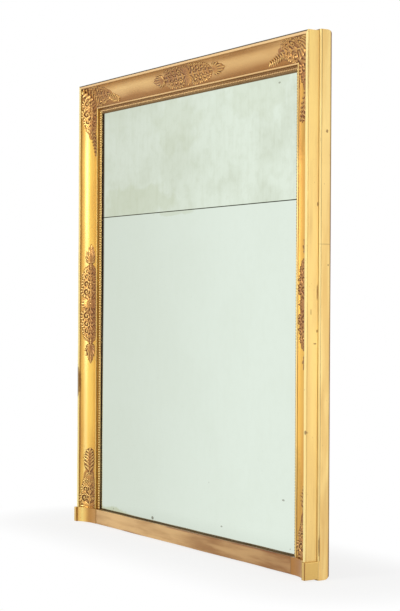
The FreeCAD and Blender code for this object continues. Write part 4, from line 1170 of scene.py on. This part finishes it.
def softwood(name, early, late, along, shift):
    """Grain lines stretched along the board, knots and stains in broad clouds, and dust."""
    material, tree, shader = new_finish(name)
    rings = noise(tree, 0.007, 4, along, shift)
    broad = noise(tree, 0.3, 3, EVEN, shift + 4)
    colour = blend(tree, between(tree, rings, 0.4, 0.68, 0.0, 0.85), early, late)
    colour = blend(tree, between(tree, broad, 0.45, 0.7, 0.0, 0.5), colour, DUST)
    fibres = noise(tree, 0.0016, 2, along, shift + 2)
    colour = blend(tree, between(tree, fibres, 0.6, 0.75, 0.0, 0.35), colour, late)
    tree.links.new(colour, shader.inputs["Base Color"])
    tree.links.new(between(tree, broad, 0.3, 0.7, 0.72, 0.9), shader.inputs["Roughness"])
    bump(tree, shader, calc(tree, "ADD", rings, fibres), 0.0005)
    return material


def forged(name):
    """Dark iron with rust in clouds and a hammered surface."""
    material, tree, shader = new_finish(name)
    rust = between(tree, noise(tree, 0.008, 4, EVEN, 2.7), 0.45, 0.65)
    tree.links.new(blend(tree, rust, paint(70, 66, 62), RUST), shader.inputs["Base Color"])
    tree.links.new(between(tree, rust, 0.0, 1.0, 0.85, 0.15), shader.inputs["Metallic"])
    tree.links.new(between(tree, rust, 0.0, 1.0, 0.42, 0.8), shader.inputs["Roughness"])
    bump(tree, shader, noise(tree, 0.005, 3, EVEN, 0.6), 0.0005)
    return material

# %% Slips, boards and iron
LONG_UP, LONG_ACROSS = (1, 1, 30), (30, 1, 1)
EARLY, LATE = (paint(176, 136, 92), paint(164, 124, 80), paint(186, 148, 104)), paint(128, 90, 54)
slip_black = lacquer("slip_black", paint(34, 18, 5), paint(84, 54, 26))
dress(slip_black, "sight_slip_left", "sight_slip_right")
dress(lacquer("slip_brown", paint(126, 100, 66), paint(92, 66, 38)), "sight_slip_top")
for shift, node in enumerate(("carcass_stile_left", "carcass_stile_right")):
    dress(softwood("pine_" + node, EARLY[0], LATE, LONG_UP, 1.7 * shift), node)
boards = ["carcass_bottom_rail", "carcass_cross_rail", "carcass_top_rail"]
boards += [f"backboard_{n}" for n in range(1, 7)]
for shift, node in enumerate(boards):
    dress(softwood("pine_" + node, EARLY[shift % 3], LATE, LONG_ACROSS, 5.3 + 2.9 * shift), node)
hardwood = softwood("hardwood", paint(190, 156, 110), paint(150, 114, 72), UPRIGHT, 9.1)
dress(hardwood, "mitre_keys", "locating_dowels", "carcass_pegs", "setting_slips", "plate_wedges")
iron = forged("old_iron")
dress(iron, "hanger_strap_left", "hanger_strap_right", "hanging_ring_left", "hanging_ring_right")
dress(iron, "hanger_screws", "backboard_nails")
print(len(boards) + 2, "pine boards dressed")

# %% [markdown]
# ## The dark ledge
# Behind its gilded front arris the top of the base rail is dark brown. It is a thin layer of
# its own, so that its colour can change without a gradual edge in the leaf.

# %% Dark ledge
LEDGE_LAYER = 0.4 * MM
LEDGE_SUNK = 0.3 * MM
ledge_front = rail_low.y + LEDGE_BARE
ledge_top, ledge_under = rail_high.z + LEDGE_LAYER, rail_high.z - LEDGE_SUNK
ledge_brown = lacquer("ledge_brown", paint(108, 82, 44), paint(70, 48, 22))
ledge, ledge_marks = section_of(
    ((ledge_front, ledge_under), PLAIN),
    ((ledge_front, ledge_top), PLAIN),
    ((rail_high.y, ledge_top), PLAIN),
    ((rail_high.y, ledge_under), PLAIN),
)
make_member("ledge_dark", ledge, ledge_marks, STATIONS, on_base, ledge_brown, [])

# %% [markdown]
# ## Surroundings
# The world is white to the camera and nearly white to reflections, a little greyer overhead, so the
# gold shows its form. To everything else it is a modest grey, so that the lamps can model the relief.

# %% World
WHITE, FILL, OVERHEAD = (1, 1, 1, 1), (0.52, 0.52, 0.52, 1), (0.66, 0.66, 0.66, 1)


def seen_by(tree):
    """1 for rays from the camera, and 1 for rays from mirrors or through glass."""
    path = tree.nodes.new("ShaderNodeLightPath")
    mirrored = calc(tree, "MAXIMUM", path.outputs["Is Glossy Ray"], path.outputs["Is Transmission Ray"])
    return path.outputs["Is Camera Ray"], mirrored


world = bpy.data.worlds.new("studio")
bpy.context.scene.world = world
world.use_nodes = True
sky = world.node_tree
direct, mirrored = seen_by(sky)
dome = blend(sky, between(sky, coordinate(sky, "Z", "Generated"), 0.12, 0.55), WHITE, OVERHEAD)
light = blend(sky, mirrored, FILL, dome)
sky.links.new(blend(sky, direct, light, WHITE), sky.nodes["Background"].inputs["Color"])
print("world fill", FILL[0], "overhead", OVERHEAD[0])

# %% [markdown]
# ## Lamps that pass the mirror by
# A tall soft light in front lays a bright line along each cove, and a second one at the right fills the
# sides. A mirror would show them both. Light linking leaves the two plates out of what the lamps shine
# on, so the lamps don't appear in the glass from any side.

# %% Lamps
unlit = bpy.data.collections.new("mirror_plates")
for node in ("mirror_plate_lower", "mirror_plate_upper"):
    unlit.objects.link(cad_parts[node])
for entry in unlit.collection_objects:
    entry.light_linking.link_state = "EXCLUDE"


def lamp(name, place, target, width, height, power):
    """A soft light of a width and a height that faces its target and doesn't show in the mirror."""
    data = bpy.data.lights.new(name, "AREA")
    data.shape, data.size, data.size_y, data.energy = "RECTANGLE", width, height, power
    light = bpy.data.objects.new(name, data)
    light.location = place
    light.rotation_mode = "QUATERNION"
    light.rotation_quaternion = (Vector(target) - Vector(place)).to_track_quat("-Z", "Y")
    light.visible_camera = False
    light.light_linking.receiver_collection = unlit
    bpy.context.scene.collection.objects.link(light)
    print("lamp", name, power, "W")


lamp("front", place=(0.4, -2.8, 1.7), target=(-0.2, 0, 0.9), width=0.7, height=2.0, power=32)
lamp("right", place=(3.4, 0.5, 0.7), target=(0.66, 0, 0.65), width=1.6, height=2.0, power=20.5)

# %% [markdown]
# ## The floor
# A pale floor keeps the shadow near the frame, then fades to white. The fade is emission that only the
# camera and reflections see, mixed in by the distance from the frame.

# %% Floor
FLOOR_REACH = 6.0
FLOOR_GREY = (0.86, 0.86, 0.85, 1)
FADE_SQUARE, FADE_NEAR = 0.2, 0.8
floor_points = np.array([[-1, -1, 0], [1, -1, 0], [1, 1, 0], [-1, 1, 0]]) * FLOOR_REACH
floor_mesh = bpy.data.meshes.new("floor")
floor_mesh.from_pydata(floor_points.tolist(), [], [[0, 1, 2, 3]])
floor_finish, tree, shader = new_finish("pale_floor")
shader.inputs["Base Color"].default_value = FLOOR_GREY
shader.inputs["Roughness"].default_value = 0.9
aside = calc(tree, "SUBTRACT", calc(tree, "ABSOLUTE", coordinate(tree, "X")), HALF_FRONT)
beside = calc(tree, "MAXIMUM", aside, 0.0)
depth = coordinate(tree, "Y")
away = calc(tree, "ADD", calc(tree, "MULTIPLY", beside, beside), calc(tree, "MULTIPLY", depth, depth))
direct, mirrored = seen_by(tree)
seen = calc(tree, "MAXIMUM", direct, mirrored)
fade = calc(tree, "MULTIPLY", seen, between(tree, away, 0.0, FADE_SQUARE, FADE_NEAR, 1.0))
glow, mix = tree.nodes.new("ShaderNodeEmission"), tree.nodes.new("ShaderNodeMixShader")
tree.links.new(fade, mix.inputs["Fac"])
tree.links.new(shader.outputs["BSDF"], mix.inputs[1])
tree.links.new(glow.outputs["Emission"], mix.inputs[2])
tree.links.new(mix.outputs["Shader"], tree.nodes["Material Output"].inputs["Surface"])
floor_mesh.materials.append(floor_finish)
floor = bpy.data.objects.new("floor", floor_mesh)
bpy.context.scene.collection.objects.link(floor)
print("floor", 2 * FLOOR_REACH, "m wide")

# %% Finish
bpy.context.scene.view_settings.view_transform = "Standard"
